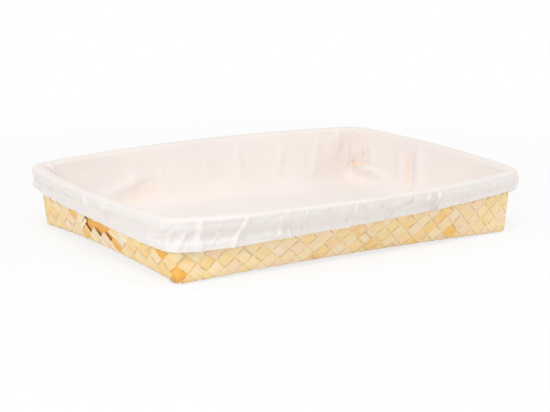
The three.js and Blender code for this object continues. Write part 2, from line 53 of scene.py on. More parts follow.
# Plait: strips on the bias, over and under each other. Widths are shares of the spacing.
STRIP_SPACING = 15
STRIP_ANGLE = math.radians(48.6)
STRIP_THICKNESS = 0.6
STRIP_RISE = 0.8
STRIP_WIDTHS = (0.962, 0.992)
STRIP_TONES = (0, 0.8)
CROWN_RISE = 0.9
VALLEY = 0.4
PLAIT_DEPTH = VALLEY - STRIP_RISE - STRIP_THICKNESS / 2
LOOSENESS = 0.16
END_CURL = 0.8
END_DOUBLING = 0.9
FOLD_SPAN = 0.42

# How a strip is sampled, counted in crossings: the shortest that is kept, how far the slant of an end
# reaches in, the distance that stands for no cut end near, and the number that falling strips count from
STRIP_SAMPLES = 7
STRIP_COLUMNS = 5
CUT_SAMPLES = 60
SHORTEST_STRIP = 0.3
RIM_END_REACH = 2
FAR_FROM_CUT = 9.0
FALLING_NUMBERS = 100

# The few strips that start in deep yellow or orange bamboo, by direction and line, and their tones
STRONG_TONES = {(True, -6): 1.0, (False, -18): 0.88, (False, -24): 0.98, (True, 26): 0.86}
STRONG_REACH = 5

# Frayed slivers at the foot of the front left corner. Start and end are a step and a height.
Sliver = namedtuple("Sliver", "start end bow width tone")
SLIVERS = [
    Sliver((-0.62, 7.4), (-0.16, 1.6), 2.6, 1.1, 0.15),
    Sliver((0.12, 6.6), (0.42, 1.3), 2.2, 0.9, 0.43),
    Sliver((-0.95, 4.6), (-0.3, 1.4), 1.9, 1.0, 0.71),
    Sliver((0.3, 4.2), (0.95, 1.8), 1.5, 0.8, 0.99),
]
SLIVER_SAMPLES = 13
SLIVER_LENGTH = 7
SLIVER_THICKNESS = 0.35
SLIVER_SECTION = [(-1, 0), (1, 0), (1, -SLIVER_THICKNESS), (-1, -SLIVER_THICKNESS)]

# Outlines of the base and of the mouth, each with bowed sides and round corners. No crown of the plait
# stands just at the middle of a long side, so the body's box falls a little short of the mouth there.
BASE_LENGTH = 400
BASE_WIDTH = 295
BASE_BOW = 3
BASE_CORNER_RADIUS = 10
CROWN_SHORT = 0.05
MOUTH_LENGTH = 2 * (BODY_HIGH.x - CROWN_RISE)
MOUTH_WIDTH = 2 * (BODY_HIGH.y - CROWN_RISE + CROWN_SHORT)
MOUTH_BOW_LONG = 23.4
MOUTH_BOW_SHORT = 9.8
MOUTH_CORNER_RADIUS = 20
ARCH_LONG_SIDE = 4.6
ARCH_SHORT_SIDE = 6.9
ARCH_START = 0.6

# Rim splints. A seat is how far off the wall's outer face a splint starts. Their sections stand
# BAR_STEP apart, the last but one keeps SCARF_ROOM off the end, and the cane's nodes are NODE_SPACING
# apart and NODE_WIDTH wide, all four in steps.
HOOP_HEIGHT = 12
HOOP_LEVEL = WALL_HEIGHT - HOOP_HEIGHT / 2
HOOP_FOOT = HOOP_LEVEL - HOOP_HEIGHT / 2
OUTER_HOOP_SEAT = 1.3
OUTER_HOOP_THICKNESS = 5
OUTER_HOOP_SAMPLES = 25
INNER_HOOP_SEAT = -2.3
INNER_HOOP_THICKNESS = 2.6
INNER_HOOP_ROUNDING = 0.6
BAR_STEP = 0.25
SCARF_LENGTH = 30
SCARF_GAP = 3
SCARF_ROOM = 0.2
NODE_SPACING = 19.0
NODE_WIDTH = 0.35
NODE_SWELL = 0.35

# Nails and the dimples that they press into the outer splint
NAIL_COUNTS = (4, 2, 4, 2)
NAIL_HEAD_RADIUS = 1.8
NAIL_HEAD_RISE = 0.5
NAIL_HEAD_DETAIL = (24, 12)
DIMPLE_DEPTH = 1.3
DIMPLE_REACH = 1.25
DIMPLE_SAMPLES = np.linspace(-0.5, 0.5, 17)

# Hand slots and the slats behind them
SLOT_HALF = 31
SLOT_BOTTOM = 20.5
SLOT_TOP = WALL_HEIGHT - HOOP_HEIGHT - 0.5
SLAT_NAMES = {RIGHT: "slat_right", LEFT: "slat_left"}
SLAT_TONES = {RIGHT: 0.3, LEFT: 0.6}
SLAT_INNER = -4.3
SLAT_OUTER = -2.3
SLAT_ROUNDING = 0.5
SLAT_SAMPLES = 41
SLAT_END_TRIM = np.array([0.25, 0.03])

# Liner: how its side panel runs from the floor seam up the wall, over the rim and down to the hem.
# Softness is the spread, in steps, that rounds the cloth at a corner: at the seam, foot and fillet top.
LINER_WALL = -5.8
LINER_WALL_TOP = WALL_HEIGHT - 3.5
FLOOR_UP = 2.9
FLOOR_SHARE = 0.88
SEAM_SOFTNESS = 1.6
FOOT_SOFTNESS = 1.28
FILLET_SOFTNESS = 0.56
FOOT_IN = 1.5
FILLET_IN = 0.5
FILLET_HEIGHT = 20
RIM_TOP = 65.4
RIM_GAP = 0.45
RIM_BEND = 0.5
RIM_SQUARENESS = 0.38
RIM_UNDER = 0.6
RISE_SAMPLES = 30
DOME_SAMPLES = 40
GIRTH_LEVEL = 50.0
PER_STEP = 8
FILLET_POINTS = 12
WALL_POINTS = 13
RIM_POINTS = 24
SKIRT_POINTS = 34
HEM_POINTS = 5

# Skirt: how far it tucks in under the rim, where it is pinched (a step and a reach), and how it billows
SKIRT_TUCK = 2.4
NEAR_TUCK = 0.9
NEAR_REACH = 7
LEFT_END_STEP = 8
LEFT_END_REACH = 5
CORNER_REACH = 2.2
CORNER_TUCK = {RIGHT: 3.0, BACK: 3.5, LEFT: 5.5}
CORNER_BILLOW = {RIGHT: 0.0, BACK: 2.0, LEFT: 3.2}
SLOT_TUCK = 0.9
SLOT_REACH = 4.5
PINCHED = [(112.5, 4.0), (4.5, 5.5)]
PINCH_IN = 4
PINCH_OUT = 1.2
BILLOW_HEIGHT = 2.6
SKIRT_SAMPLES = 60

# Hem, its casing with the elastic inside, and the topstitching. Heights are over the table, evenly
# spread round the tray. From the roll's end, the turned-up edge inside runs on by an offset and a rise.
HEM_HEIGHTS = np.array([
    33.8, 33.2, 36.4, 38.6, 41.2, 42.6, 45, 46, 44, 42, 41.3,
    41.5, 39.5, 38.5, 39, 39.5, 40.4, 42.4, 39.4, 38.2, 37.4, 34.8,
])
HEM_OUT = 4.4
HEM_AT_CORNER = 3.1
NEAR_HEM_OUT = 1.6
HEM_ROLL = 1.15
HEM_TURN = math.radians(198)
HEM_EDGE = np.array([[0.0, 1.6], [0.05, 3.6]])
CASING_WIDTH = 4.4
CASING_EASE = 5
CASING_SINK = 0.35
CASING_RISE = 0.12
CASING_ROUND = 1.7
CASING_ROOM = 0.55
STITCH_UP = 5.2
STITCH_SINK = 0.06
STITCH_GROOVE = 0.9
STITCH_RISE = 0.12
STITCH_PITCH = 3.5
STITCH_HALF = 0.38 * STITCH_PITCH
STITCH_AIM = 0.8
STITCH_DETAIL = (6, 5)
THREAD_RADIUS = 0.2
THREAD_PITCH = 0.45
ELASTIC_UP = 1.0
ELASTIC_WIDTH = 3.4
ELASTIC_INNER = -2.05
ELASTIC_OUTER = -1.25
ELASTIC_ROUNDING = 0.3

# Loose waves of the cloth: their size, seed and how much longer they are down the cloth, and for some
# how high they stand inside the tray and outside
Waves = namedtuple("Waves", "size seed stretch inside outside", defaults=(0.0, 0.0))
BROAD = Waves(70, 3, 0.8, 2.4, 1.0)
MIDDLE = Waves(26, 5, 1.1, 1.3, 0.8)
CRUMPLED = Waves(8.5, 7, 2.6, 0.25, 1.7)
CRUMPLED_PATCHES = Waves(48, 8, 1.0)
DRIFT = Waves(110, 12, 0.5)
DRIFT_HEIGHT = 0.5
GATHERS = Waves(7.0, 31, 2.5)
GATHER_REACH = 12
SKIRT_SHRINK = 0.25
NOISE_ROWS = 64

# Where waves and folds set in, by run off the rim's crest and off the floor seam, and how the skirt is
# pulled taut over the rim at the corners
SMOOTH_RIM = 2
EASE_OUTSIDE = 6
EASE_INSIDE = 10
EASE_AT_SEAM = 14
TAUT_SHARE = 0.7
TAUT_REACH = 3
TAUT_DEPTH = 0.5
TAUT_DEPTH_REACH = 2

# Ripples of the floor panel: size along and across, where they start in the noise, seed and share
Ripple = namedtuple("Ripple", "along across start seed share")
RIPPLES = [Ripple(52, 38, 20, 41, 1.0), Ripple(21, 17, 30, 43, 0.4)]
FLOOR_RIPPLE = 1.6

# Room for dips of the cloth before it meets what is behind it: little at the rim, by a slat and over
# the elastic, and more elsewhere
ROOM_AT_RIM = 0.25
ROOM_ON_WALL = 1.6
ROOM_AT_SLAT = 0.7
ROOM_TOP = 53
ROOM_FADE = 12
SLAT_NEAR_X = 175
SLAT_FADE_X = 15
SLAT_ROOM_Y = 14
SLAT_FADE_Y = 10
WALL_CLEARANCE = 1.4
OFF_WALL = (0.1, 1.8)
RIM_CLEARANCE = 0.1
SPLINT_FADE = 4
CASING_FADE = 3

# Folds of the cloth: from one step and height to another, a width, a height, which is below zero for a
# groove, and how the width grows. From SEEN_UP_TO to SEEN_AGAIN_FROM the skirt has random folds as well.
Fold = namedtuple("Fold", "start end width height flare", defaults=(0.0,))
SKIRT_FOLDS = [
    Fold((0.2, 62.6), (8.8, 62.3), 1.9, 0.9),
    Fold((107.0, 62.6), (118.5, 62.4), 1.9, 0.8),
    Fold((107.4, 46), (107.0, 66), 1.9, 0.9),
    Fold((109.3, 48), (108.6, 66), 1.6, 0.8),
    Fold((114.9, 50), (114.8, 65), 1.6, 1.2),
    Fold((119.6, 36), (119.3, 66), 3.4, 1.9),
    Fold((122.3, 40), (123.1, 65), 1.9, 1.9),
    Fold((123.1, 40), (124.0, 62), 1.6, -1.0),
    Fold((130.1, 32), (131.8, 62), 2.0, 1.1),
    Fold((130.9, 32), (132.5, 58), 1.8, 1.0),
    Fold((132.0, 50), (132.1, 66), 1.4, 1.7),
    Fold((132.1, 31), (133.3, 55), 1.9, 1.2),
    Fold((132.7, 31), (133.6, 50), 1.5, 0.9),
    Fold((2.2, 30), (2.5, 67), 3.6, 2.8, -0.9),
    Fold((4.3, 40), (4.5, 66), 1.2, 0.7),
    Fold((3.3, 36), (4.4, 51), 2.0, 1.0),
    Fold((5.5, 30), (7.1, 67), 1.9, 2.2, -0.5),
    Fold((8.4, 53), (10.4, 60.5), 2.2, -0.9),
    Fold((10.6, 34), (10.4, 60), 1.8, 1.0),
    Fold((11.8, 32), (10.8, 66), 1.7, 1.9),
    Fold((12.1, 48), (11.4, 64), 1.3, -1.0),
    Fold((13.2, 30), (12.9, 63), 1.6, 1.5),
    Fold((16.3, 38), (15.6, 64), 1.6, 1.3),
    Fold((18.0, 34), (18.3, 65), 1.9, 1.7, -0.5),
    Fold((20.3, 40), (19.8, 64), 2.1, 1.1),
    Fold((22.2, 53), (21.9, 65), 1.7, -1.0),
    Fold((21.2, 51), (21.3, 66), 1.0, 1.0),
    Fold((18.9, 55), (19.1, 66), 0.9, 0.9),
    Fold((24.6, 52), (24.4, 66), 1.0, 1.1),
    Fold((15.1, 54), (14.9, 66), 1.0, 1.0),
    Fold((22.6, 34), (22.4, 57), 1.5, 1.0),
    Fold((23.9, 40), (23.4, 62), 1.4, -1.0),
    Fold((26.9, 50), (26.8, 66), 1.5, 1.8),
    Fold((27.7, 50), (27.5, 67), 1.0, -1.8),
    Fold((28.3, 40), (28.1, 67), 1.6, 3.0, 0.6),
    Fold((31.2, 38), (30.6, 60), 1.9, 0.6),
    Fold((32.4, 38), (31.8, 60), 1.9, 0.6),
    Fold((36.6, 36), (36.0, 62), 2.4, 0.5),
]
INSIDE_FOLDS = [
    Fold((65.3, 18), (65.2, 66), 4.2, 3.0, 0.3),
    Fold((66.2, 19), (62.9, 42), 3.6, -2.6),
    Fold((53.4, 6), (55.6, 64), 8.0, 2.4, -0.5),
    Fold((55.0, 14), (57.4, 58), 4.5, -1.5, 0.4),
    Fold((68.0, 42), (68.3, 66), 4.2, 1.2),
    Fold((65.8, 22), (59.4, 19), 3.4, 2.4),
    Fold((104.0, 40), (104.9, 66), 4.0, 2.6),
    Fold((108.6, 40), (108.4, 66), 3.4, 1.8),
    Fold((98.0, 10), (91.0, 28), 7.0, -1.4),
    Fold((99.2, 18), (92.2, 38), 7.0, 1.0),
]
CREASES = [
    Fold((63.9, 27), (64.9, 60), 1.7, -2.2, -0.4),
    Fold((66.6, 24), (63.4, 26), 2.2, -2.4),
    Fold((55.8, 14), (57.4, 54), 5.0, -0.9),
]
SEEN_UP_TO = 39.5
SEEN_AGAIN_FROM = 112.5
FOLD_STRENGTH = 2.1
FOLD_REACH = 5
FLARE_RANGE = (0.4, 2.5)
TROUGH_DEPTH = 0.28
TROUGH_PLACE = 1.8
# How strongly the cloth's dips and creases inside the tray are painted with warm shade
DIP_PAINTED_SHADE = 0.22
CREASE_PAINTED_SHADE = 0.36

# Floor and light, in metres and watts. The floor shows part even white near the tray, and all white
# further away.
FLOOR_SIZE = 30
FLOOR_GREY = (0.93, 0.93, 0.93, 1)
FLOOR_WHITE = 0.78
WHITE_FROM = 0.35
WHITE_AT = 0.9
SKY_STRENGTH = 0.65
Lamp = namedtuple("Lamp", "name place size power")
LAMPS = [
    Lamp("high_lamp", (-0.7, -1.1, 1.9), 0.5, 9.0),
    Lamp("top_lamp", (0.0, 0.2, 2.2), 0.8, 4.0),
    Lamp("left_lamp", (-2.6, -1.0, 1.5), 0.5, 17.0),
    Lamp("right_lamp", (2.2, -1.8, 1.5), 0.8, 11.0),
]

# Camera, from a perspective fit of the photograph: radians, metres, and the photograph's pixels
YAW = -0.5635
ELEVATION = 0.2268
DISTANCE = 1.88482
TARGET = Vector((-0.01083, -0.01911, 0.02899))
FOCAL_PIXELS = 1817.98
PHOTO_WIDTH = 550
SENSOR = 36.0
NEAR_CLIP = 0.05
FAR_CLIP = 60

# Half-cell counts of the plait, and the steps at which each side starts and the nails are driven
HALF_PITCH_X = STRIP_SPACING / 2 / math.sin(STRIP_ANGLE)
HALF_PITCH_Y = STRIP_SPACING / 2 / math.cos(STRIP_ANGLE)
CELLS_X = round(BASE_LENGTH / 2 / HALF_PITCH_X)
CELLS_Y = round(BASE_WIDTH / 2 / HALF_PITCH_Y)
ROWS = round(math.hypot(WALL_HEIGHT, (MOUTH_WIDTH - BASE_WIDTH) / 2) / HALF_PITCH_X)
SIDE_STEPS = np.array([2 * CELLS_X, 2 * CELLS_Y, 2 * CELLS_X, 2 * CELLS_Y])
SIDE_STARTS = np.concatenate([[0], np.cumsum(SIDE_STEPS)[:-1]])
AROUND = int(SIDE_STEPS.sum())
NAIL_STEPS = np.concatenate([
    start + steps * (np.arange(count) + 0.5) / count
    for start, steps, count in zip(SIDE_STARTS, SIDE_STEPS, NAIL_COUNTS)
])


# Small sums that many shapes use

def clamped(value):
    return np.clip(value, 0, 1)


def bell(distance, reach):
    """1 at no distance, falling smoothly to almost nothing at twice the reach."""
    return np.exp(-((distance / reach) ** 2))


def wrapped(distance, whole):
    return np.mod(distance + whole / 2, whole) - whole / 2


# Shape of the tray

def arc_radius(half_span, bow):
    """Radius of the arc that bows out this far over a half span."""
    return (half_span**2 + bow**2) / (2 * bow)


def front_right_meeting(centre_a, radius_a, centre_b, radius_b):
    """Where two circles meet in the front right quarter."""
    between = centre_b - centre_a
    distance = np.linalg.norm(between)
    along = (radius_a**2 - radius_b**2 + distance**2) / (2 * distance)
    across = math.sqrt(radius_a**2 - along**2)
    unit = between / distance
    square = np.array([-unit[1], unit[0]])
    places = [centre_a + unit * along + square * way for way in (across, -across)]
    return next(place for place in places if place[0] > 0 > place[1])


class Outline:
    """Four bowed sides with round corners: arcs, each tangent to the next."""

    def __init__(self, length, width, bow_long, bow_short, radius):
        half_x, half_y = length / 2, width / 2
        long_radius = arc_radius(half_x - bow_short - radius, bow_long)
        short_radius = arc_radius(half_y - bow_long - radius, bow_short)
        long_centre = np.array([0, long_radius - half_y])
        short_centre = np.array([half_x - short_radius, 0])
        self.corner = front_right_meeting(
            long_centre, long_radius - radius, short_centre, short_radius - radius
        )
        to_long = self.corner - long_centre
        to_short = self.corner - short_centre
        long_angle = math.atan2(to_long[0], -to_long[1])
        short_angle = math.atan2(-to_short[1], to_short[0])
        self.corner_radius = radius
        self.half_corner = (math.pi / 2 - long_angle - short_angle) / 2
        self.centres = np.array([long_centre, short_centre])
        self.radii = np.array([long_radius, short_radius])
        self.angles = np.array([long_angle, short_angle])

    def at(self, side, t):
        """Points and outward normals at shares t of sides, from -1 to 1."""
        kind = side % 2
        radius, angle = self.radii[kind], self.angles[kind]
        along = np.abs(t) * (radius * angle + self.corner_radius * self.half_corner)
        past = along - radius * angle
        turn = np.where(past > 0, angle + past / self.corner_radius, along / radius)
        heading = np.where(kind == 0, turn - math.pi / 2, -turn)
        normal = np.stack([np.cos(heading), np.sin(heading)], -1)
        centre = np.where((past > 0)[..., None], self.corner, self.centres[kind])
        reach = np.where(past > 0, self.corner_radius, radius)
        mirror_x = np.where((kind == 0) & (t < 0), -1.0, 1.0)
        mirror_y = np.where((kind == 1) & (t > 0), -1.0, 1.0)
        mirror = np.stack([mirror_x, mirror_y], -1) * np.where(side < 2, 1.0, -1.0)[..., None]
        return (centre + normal * reach[..., None]) * mirror, normal * mirror


base = Outline(BASE_LENGTH, BASE_WIDTH, BASE_BOW, BASE_BOW, BASE_CORNER_RADIUS)
mouth = Outline(MOUTH_LENGTH, MOUTH_WIDTH, MOUTH_BOW_LONG, MOUTH_BOW_SHORT, MOUTH_CORNER_RADIUS)


def locate(a):
    """Side and share t of steps a, counted in half cells from the front left corner."""
    rest = np.mod(np.asarray(a, float), AROUND)
    side = np.clip(np.searchsorted(SIDE_STARTS, rest, side="right") - 1, 0, 3)
    return side, 2 * (rest - SIDE_STARTS[side]) / SIDE_STEPS[side] - 1


def arch_at(u, v):
    """How far the base arches up off the table at shares u and v of its length and width."""

    def climb(share):
        return np.maximum(0, (np.abs(share) - ARCH_START) / (1 - ARCH_START)) ** 2

    return ARCH_LONG_SIDE * (1 - u * u) * climb(v) + ARCH_SHORT_SIDE * (1 - v * v) * climb(u)


def shares_at(a):
    """Shares of the base's length and width at which the edge lies at steps a."""
    side, t = locate(a)
    one = np.ones_like(t)
    u = np.choose(side, [t, one, -t, -one])
    v = np.choose(side, [-one, t, one, -t])
    return u, v


def edge_height(a):
    return VALLEY + arch_at(*shares_at(a))


def base_point(u, v):
    """Underside of the base, blended between its four edges."""
    u, v = np.broadcast_arrays(np.asarray(u, float), np.asarray(v, float))

    def edge(side, t):
        return base.at(np.full(t.shape, side), t)[0]

    front, back, right, left = edge(FRONT, u), edge(BACK, -u), edge(RIGHT, v), edge(LEFT, -v)
    corner = np.abs(edge(FRONT, np.array(1.0)))
    across = ((1 - v)[..., None] * front + (1 + v)[..., None] * back) / 2
    along = ((1 - u)[..., None] * left + (1 + u)[..., None] * right) / 2
    place = across + along - np.stack([u, v], -1) * corner
    height = VALLEY + arch_at(np.clip(u, -1, 1), np.clip(v, -1, 1))
    return np.concatenate([place, height[..., None]], -1)


def wall_point(a, z, offset=0.0):
    """The wall's outer face at height z, moved out by offset."""
    a, z, offset = np.broadcast_arrays(*(np.asarray(value, float) for value in (a, z, offset)))
    side, t = locate(a)
    low, low_normal = base.at(side, t)
    high, high_normal = mouth.at(side, t)
    foot = edge_height(a)
    share = ((z - foot) / (WALL_HEIGHT - foot))[..., None]
    level = clamped(share)
    normal = low_normal * (1 - level) + high_normal * level
    normal /= np.linalg.norm(normal, axis=-1, keepdims=True)
    place = low * (1 - share) + high * share + normal * offset[..., None]
    return np.concatenate([place, z[..., None]], -1)


def row_height(a, row):
    """Height on the wall of a row of the plait, counted up from the base's edge."""
    foot = edge_height(a)
    return foot + (WALL_HEIGHT - foot) * row / ROWS


def folded_out(side, i, j):
    """Step round the tray and distance in from the edge of lattice place (i, j)."""
    step = [i + CELLS_X, j + CELLS_Y, CELLS_X - i, CELLS_Y - j][side] + SIDE_STARTS[side]
    inward = [j + CELLS_Y, CELLS_X - i, CELLS_Y - j, i + CELLS_X][side]
    return step, inward


def plait_point(side, i, j):
    """Lattice place (i, j) on the tray, the base and one wall unfolded into one plane."""
    step, inward = folded_out(side, i, j)
    inner = np.maximum(inward, 0)
    di, dj = [(0, 1), (-1, 0), (0, -1), (1, 0)][side]

    def on_base(depth):
        shift = depth - inward
        return base_point((i + di * shift) / CELLS_X, (j + dj * shift) / CELLS_Y)

    def on_wall(row):
        return wall_point(step, row_height(step, row))

    point = np.where((inward > 0)[..., None], on_base(inner), on_wall(np.maximum(-inward, 0)))
    t = clamped((FOLD_SPAN - inward) / (2 * FOLD_SPAN))[..., None]
    fold = np.full(np.shape(inward), FOLD_SPAN)
    bent = (1 - t) ** 2 * on_base(fold) + 2 * t * (1 - t) * on_wall(0 * fold) + t**2 * on_wall(fold)
    return np.where((np.abs(inward) < FOLD_SPAN)[..., None], bent, point)


# Meshes

def grid_faces(rows, columns, closed=False, start=0):
    """Quads of a grid of vertices, row by row, closed from the last row to the first."""
    last = rows if closed else rows - 1
    r, c = np.meshgrid(np.arange(last), np.arange(columns - 1), indexing="ij")
    here = r * columns + c
    there = ((r + 1) % rows) * columns + c
    return (np.stack([here, there, there + 1, here + 1], -1) + start).reshape(-1, 4)


def bar_faces(rows, columns, closed=False, start=0):
    """Faces of a bar through rows of closed sections, with its ends capped or run into a ring."""
    here = np.arange(rows if closed else rows - 1)[:, None] * columns + np.arange(columns)
    there = (here + columns) % (rows * columns)
    turn = np.roll(np.arange(columns), -1)
    faces = (np.stack([here, there, there[:, turn], here[:, turn]], -1) + start).reshape(-1, 4).tolist()
    if not closed:
        end = start + rows * columns
        faces.append(list(range(start, start + columns)))
        faces.append(list(range(end - columns, end))[::-1])
    return faces


def grid_normals(points, closed=False):
    """Unit normals of a grid of points: the way from row to row crossed with the way along a row."""
    if closed:
        ring = np.concatenate([points[-1:], points, points[:1]])
        down = (ring[2:] - ring[:-2]) / 2
    else:
        down = np.gradient(points, axis=0)
    across = np.gradient(points, axis=1)
    normal = np.cross(down, across)
    return normal / np.maximum(np.linalg.norm(normal, axis=-1, keepdims=True), 1e-12)


def object_of(name, points, faces, values=None, finish=None, smooth=True):
    """An object at the origin from points in millimetres, with values on its points."""
    mesh = bpy.data.meshes.new(name)
    places = (np.asarray(points, float) * MM).tolist()
    mesh.from_pydata(places, [], [list(map(int, face)) for face in faces])
    for key, value in (values or {}).items():
        value = np.asarray(value, np.float32)
        kind, field = ("FLOAT_VECTOR", "vector") if value.ndim == 2 else ("FLOAT", "value")
        mesh.attributes.new(key, kind, "POINT").data.foreach_set(field, value.ravel())
    mesh.update()
    if smooth:
        mesh.shade_smooth()
    if finish:
        mesh.materials.append(finish)
    made = bpy.data.objects.new(name, mesh)
    bpy.context.scene.collection.objects.link(made)
    return made


def give_uv(made, u, v, whole=None):
    """A UV map in metres from one u and v for each vertex. On a ring, u starts again after `whole`."""
    loops = np.zeros(len(made.data.loops), int)
    made.data.loops.foreach_get("vertex_index", loops)
    places = np.stack([np.asarray(u, float).ravel()[loops], np.asarray(v, float).ravel()[loops]], -1)
    if whole:
        quads = places[:, 0].reshape(-1, 4)
        quads[(quads.max(1, keepdims=True) - quads) > whole / 2] += whole
    made.data.uv_layers.new(name="cloth").data.foreach_set("uv", (places * MM).ravel())


# Node trees

class Wire:
    """A socket that Python's operators work on: each operator adds a Math node."""

    def __init__(self, tree, socket):
        self.tree = tree
        self.socket = socket

    def other(self, output):
        """Another output of the same node."""
        return Wire(self.tree, self.socket.node.outputs[output])

    def maths(self, operation, *operands):
        return add(self.tree, "ShaderNodeMath", {"operation": operation}, dict(enumerate(operands)))

    def __add__(self, other):
        return self.maths("ADD", self, other)

    __radd__ = __add__

    def __mul__(self, other):
        return self.maths("MULTIPLY", self, other)

    __rmul__ = __mul__

    def __sub__(self, other):
        return self.maths("SUBTRACT", self, other)

    def __rsub__(self, other):
        return self.maths("SUBTRACT", other, self)

    def __abs__(self):
        return self.maths("ABSOLUTE", self)

    def sine(self):
        return self.maths("SINE", self)

    def cosine(self):
        return self.maths("COSINE", self)

    def most(self, other):
        return self.maths("MAXIMUM", self, other)

    def fraction(self):
        return self.maths("FRACT", self)

    def below(self, limit):
        return self.maths("LESS_THAN", self, limit)

    def step(self, low, high):
        """0 at low, 1 at high, and a smooth climb between."""
        settings = {"interpolation_type": "SMOOTHSTEP"}
        values = {"Value": self, "From Min": low, "From Max": high}
        return add(self.tree, "ShaderNodeMapRange", settings, values)


def add(tree, kind, settings=None, values=None, output=0):
    """Adds a node with its settings, a ramp's stops among them, and its sockets' values or links."""
    made = tree.nodes.new(kind)
    for key, value in (settings or {}).items():
        if key == "stops":
            elements = made.color_ramp.elements
            while len(elements) < len(value):
                elements.new(0.5)
            for element, (place, shade) in zip(elements, value):
                element.position = place
                element.color = shade
        else:
            setattr(made, key, value)
    for key, value in (values or {}).items():
        if isinstance(value, Wire):
            tree.links.new(value.socket, made.inputs[key])
        else:
            made.inputs[key].default_value = value
    return Wire(tree, made.outputs[output])


def colour(red, green, blue):
    """A colour as it shows, from 0 to 255, in the linear values that a shader takes."""

    def linear(value):
        share = value / 255
        return share / 12.92 if share <= 0.04045 else ((share + 0.055) / 1.055) ** 2.4

    return (linear(red), linear(green), linear(blue), 1.0)


def mixed(tree, factor, first, second, blend="MIX"):
    """The second colour over the first, by factor."""
    settings = {"data_type": "RGBA", "blend_type": blend}
    return add(tree, "ShaderNodeMix", settings, {0: factor, 6: first, 7: second}, output=2)


def ramp(tree, factor, stops):
    return add(tree, "ShaderNodeValToRGB", {"stops": stops}, {0: factor})


def attribute(tree, name):
    return add(tree, "ShaderNodeAttribute", {"attribute_name": name}, output="Fac")


def vector(tree, x, y, z):
    return add(tree, "ShaderNodeCombineXYZ", None, {0: x, 1: y, 2: z})


def noise(tree, place, scale=1.0, detail=2.0, roughness=0.5):
    values = {"Vector": place, "Scale": scale, "Detail": detail, "Roughness": roughness}
    return add(tree, "ShaderNodeTexNoise", None, values)


def bump(tree, height, strength, distance):
    values = {"Strength": strength, "Distance": distance, "Height": height}
    return add(tree, "ShaderNodeBump", None, values)


class Finish:
    """A material with one Principled shader, whose inputs are given as values or wires."""

    def __init__(self, name):
        self.material = bpy.data.materials.new(name)
        self.material.use_nodes = True
        self.tree = self.material.node_tree
        self.shader = self.tree.nodes["Principled BSDF"]

    def set(self, **inputs):
        """Gives the shader its values and links, and returns the material."""
        for key, value in inputs.items():
            socket = self.shader.inputs[key.replace("_", " ")]
            if isinstance(value, Wire):
                self.tree.links.new(value.socket, socket)
            else:
                socket.default_value = value
        return self.material


class Recipe:
    """A geometry node tree with named inputs, each a wire that `recipe[name]` gives."""

    KINDS = {float: "NodeSocketFloat", int: "NodeSocketInt", bpy.types.Material: "NodeSocketMaterial"}

    def __init__(self, name, inputs):
        self.tree = bpy.data.node_groups.new(name, "GeometryNodeTree")
        self.tree.interface.new_socket("Geometry", in_out="INPUT", socket_type="NodeSocketGeometry")
        self.tree.interface.new_socket("Geometry", in_out="OUTPUT", socket_type="NodeSocketGeometry")
        for key, kind in inputs.items():
            self.tree.interface.new_socket(key, in_out="INPUT", socket_type=self.KINDS[kind])
        self.group = self.tree.nodes.new("NodeGroupInput")
        self.geometry = self["Geometry"]

    def __getitem__(self, key):
        return Wire(self.tree, self.group.outputs[key])

    def add(self, kind, settings=None, values=None, output=0):
        return add(self.tree, kind, settings, values, output)

    def named(self, name, data_type="FLOAT"):
        return self.add("GeometryNodeInputNamedAttribute", {"data_type": data_type}, {"Name": name})

    def random(self, low, high, identity, salt):
        values = {2: low, 3: high, "ID": identity, "Seed": self["Seed"] + salt}
        return self.add("FunctionNodeRandomValue", {"data_type": "FLOAT"}, values, output=1)

    def scaled(self, direction, amount):
        settings = {"operation": "SCALE"}
        return self.add("ShaderNodeVectorMath", settings, {0: direction, "Scale": amount})

    def store(self, geometry, name, value, domain):
        settings = {"data_type": "FLOAT", "domain": domain}
        values = {"Geometry": geometry, "Name": name, "Value": value}
        return self.add("GeometryNodeStoreNamedAttribute", settings, values)

    def finish(self, geometry):
        """Ends the tree with real geometry in the tree's own material."""
        real = self.add("GeometryNodeRealizeInstances", None, {0: geometry})
        values = {"Geometry": real, "Material": self["Material"]}
        done = self.add("GeometryNodeSetMaterial", None, values)
        output = self.tree.nodes.new("NodeGroupOutput")
        self.tree.links.new(done.socket, output.inputs[0])
        return self.tree


def made_by(tree, source, name, **inputs):
    """The plain mesh that a geometry tree makes of a source object, which is then removed."""
    modifier = source.modifiers.new(tree.name, "NODES")
    modifier.node_group = tree
    for item in tree.interface.items_tree:
        key = item.name.lower().replace(" ", "_")
        if item.in_out == "INPUT" and key in inputs:
            modifier[item.identifier] = inputs[key]
    depsgraph = bpy.context.evaluated_depsgraph_get()
    mesh = bpy.data.meshes.new_from_object(
        source.evaluated_get(depsgraph), preserve_all_data_layers=True, depsgraph=depsgraph
    )
    mesh.name = name
    bpy.data.objects.remove(source)
    made = bpy.data.objects.new(name, mesh)
    bpy.context.scene.collection.objects.link(made)
    return made


# Finishes

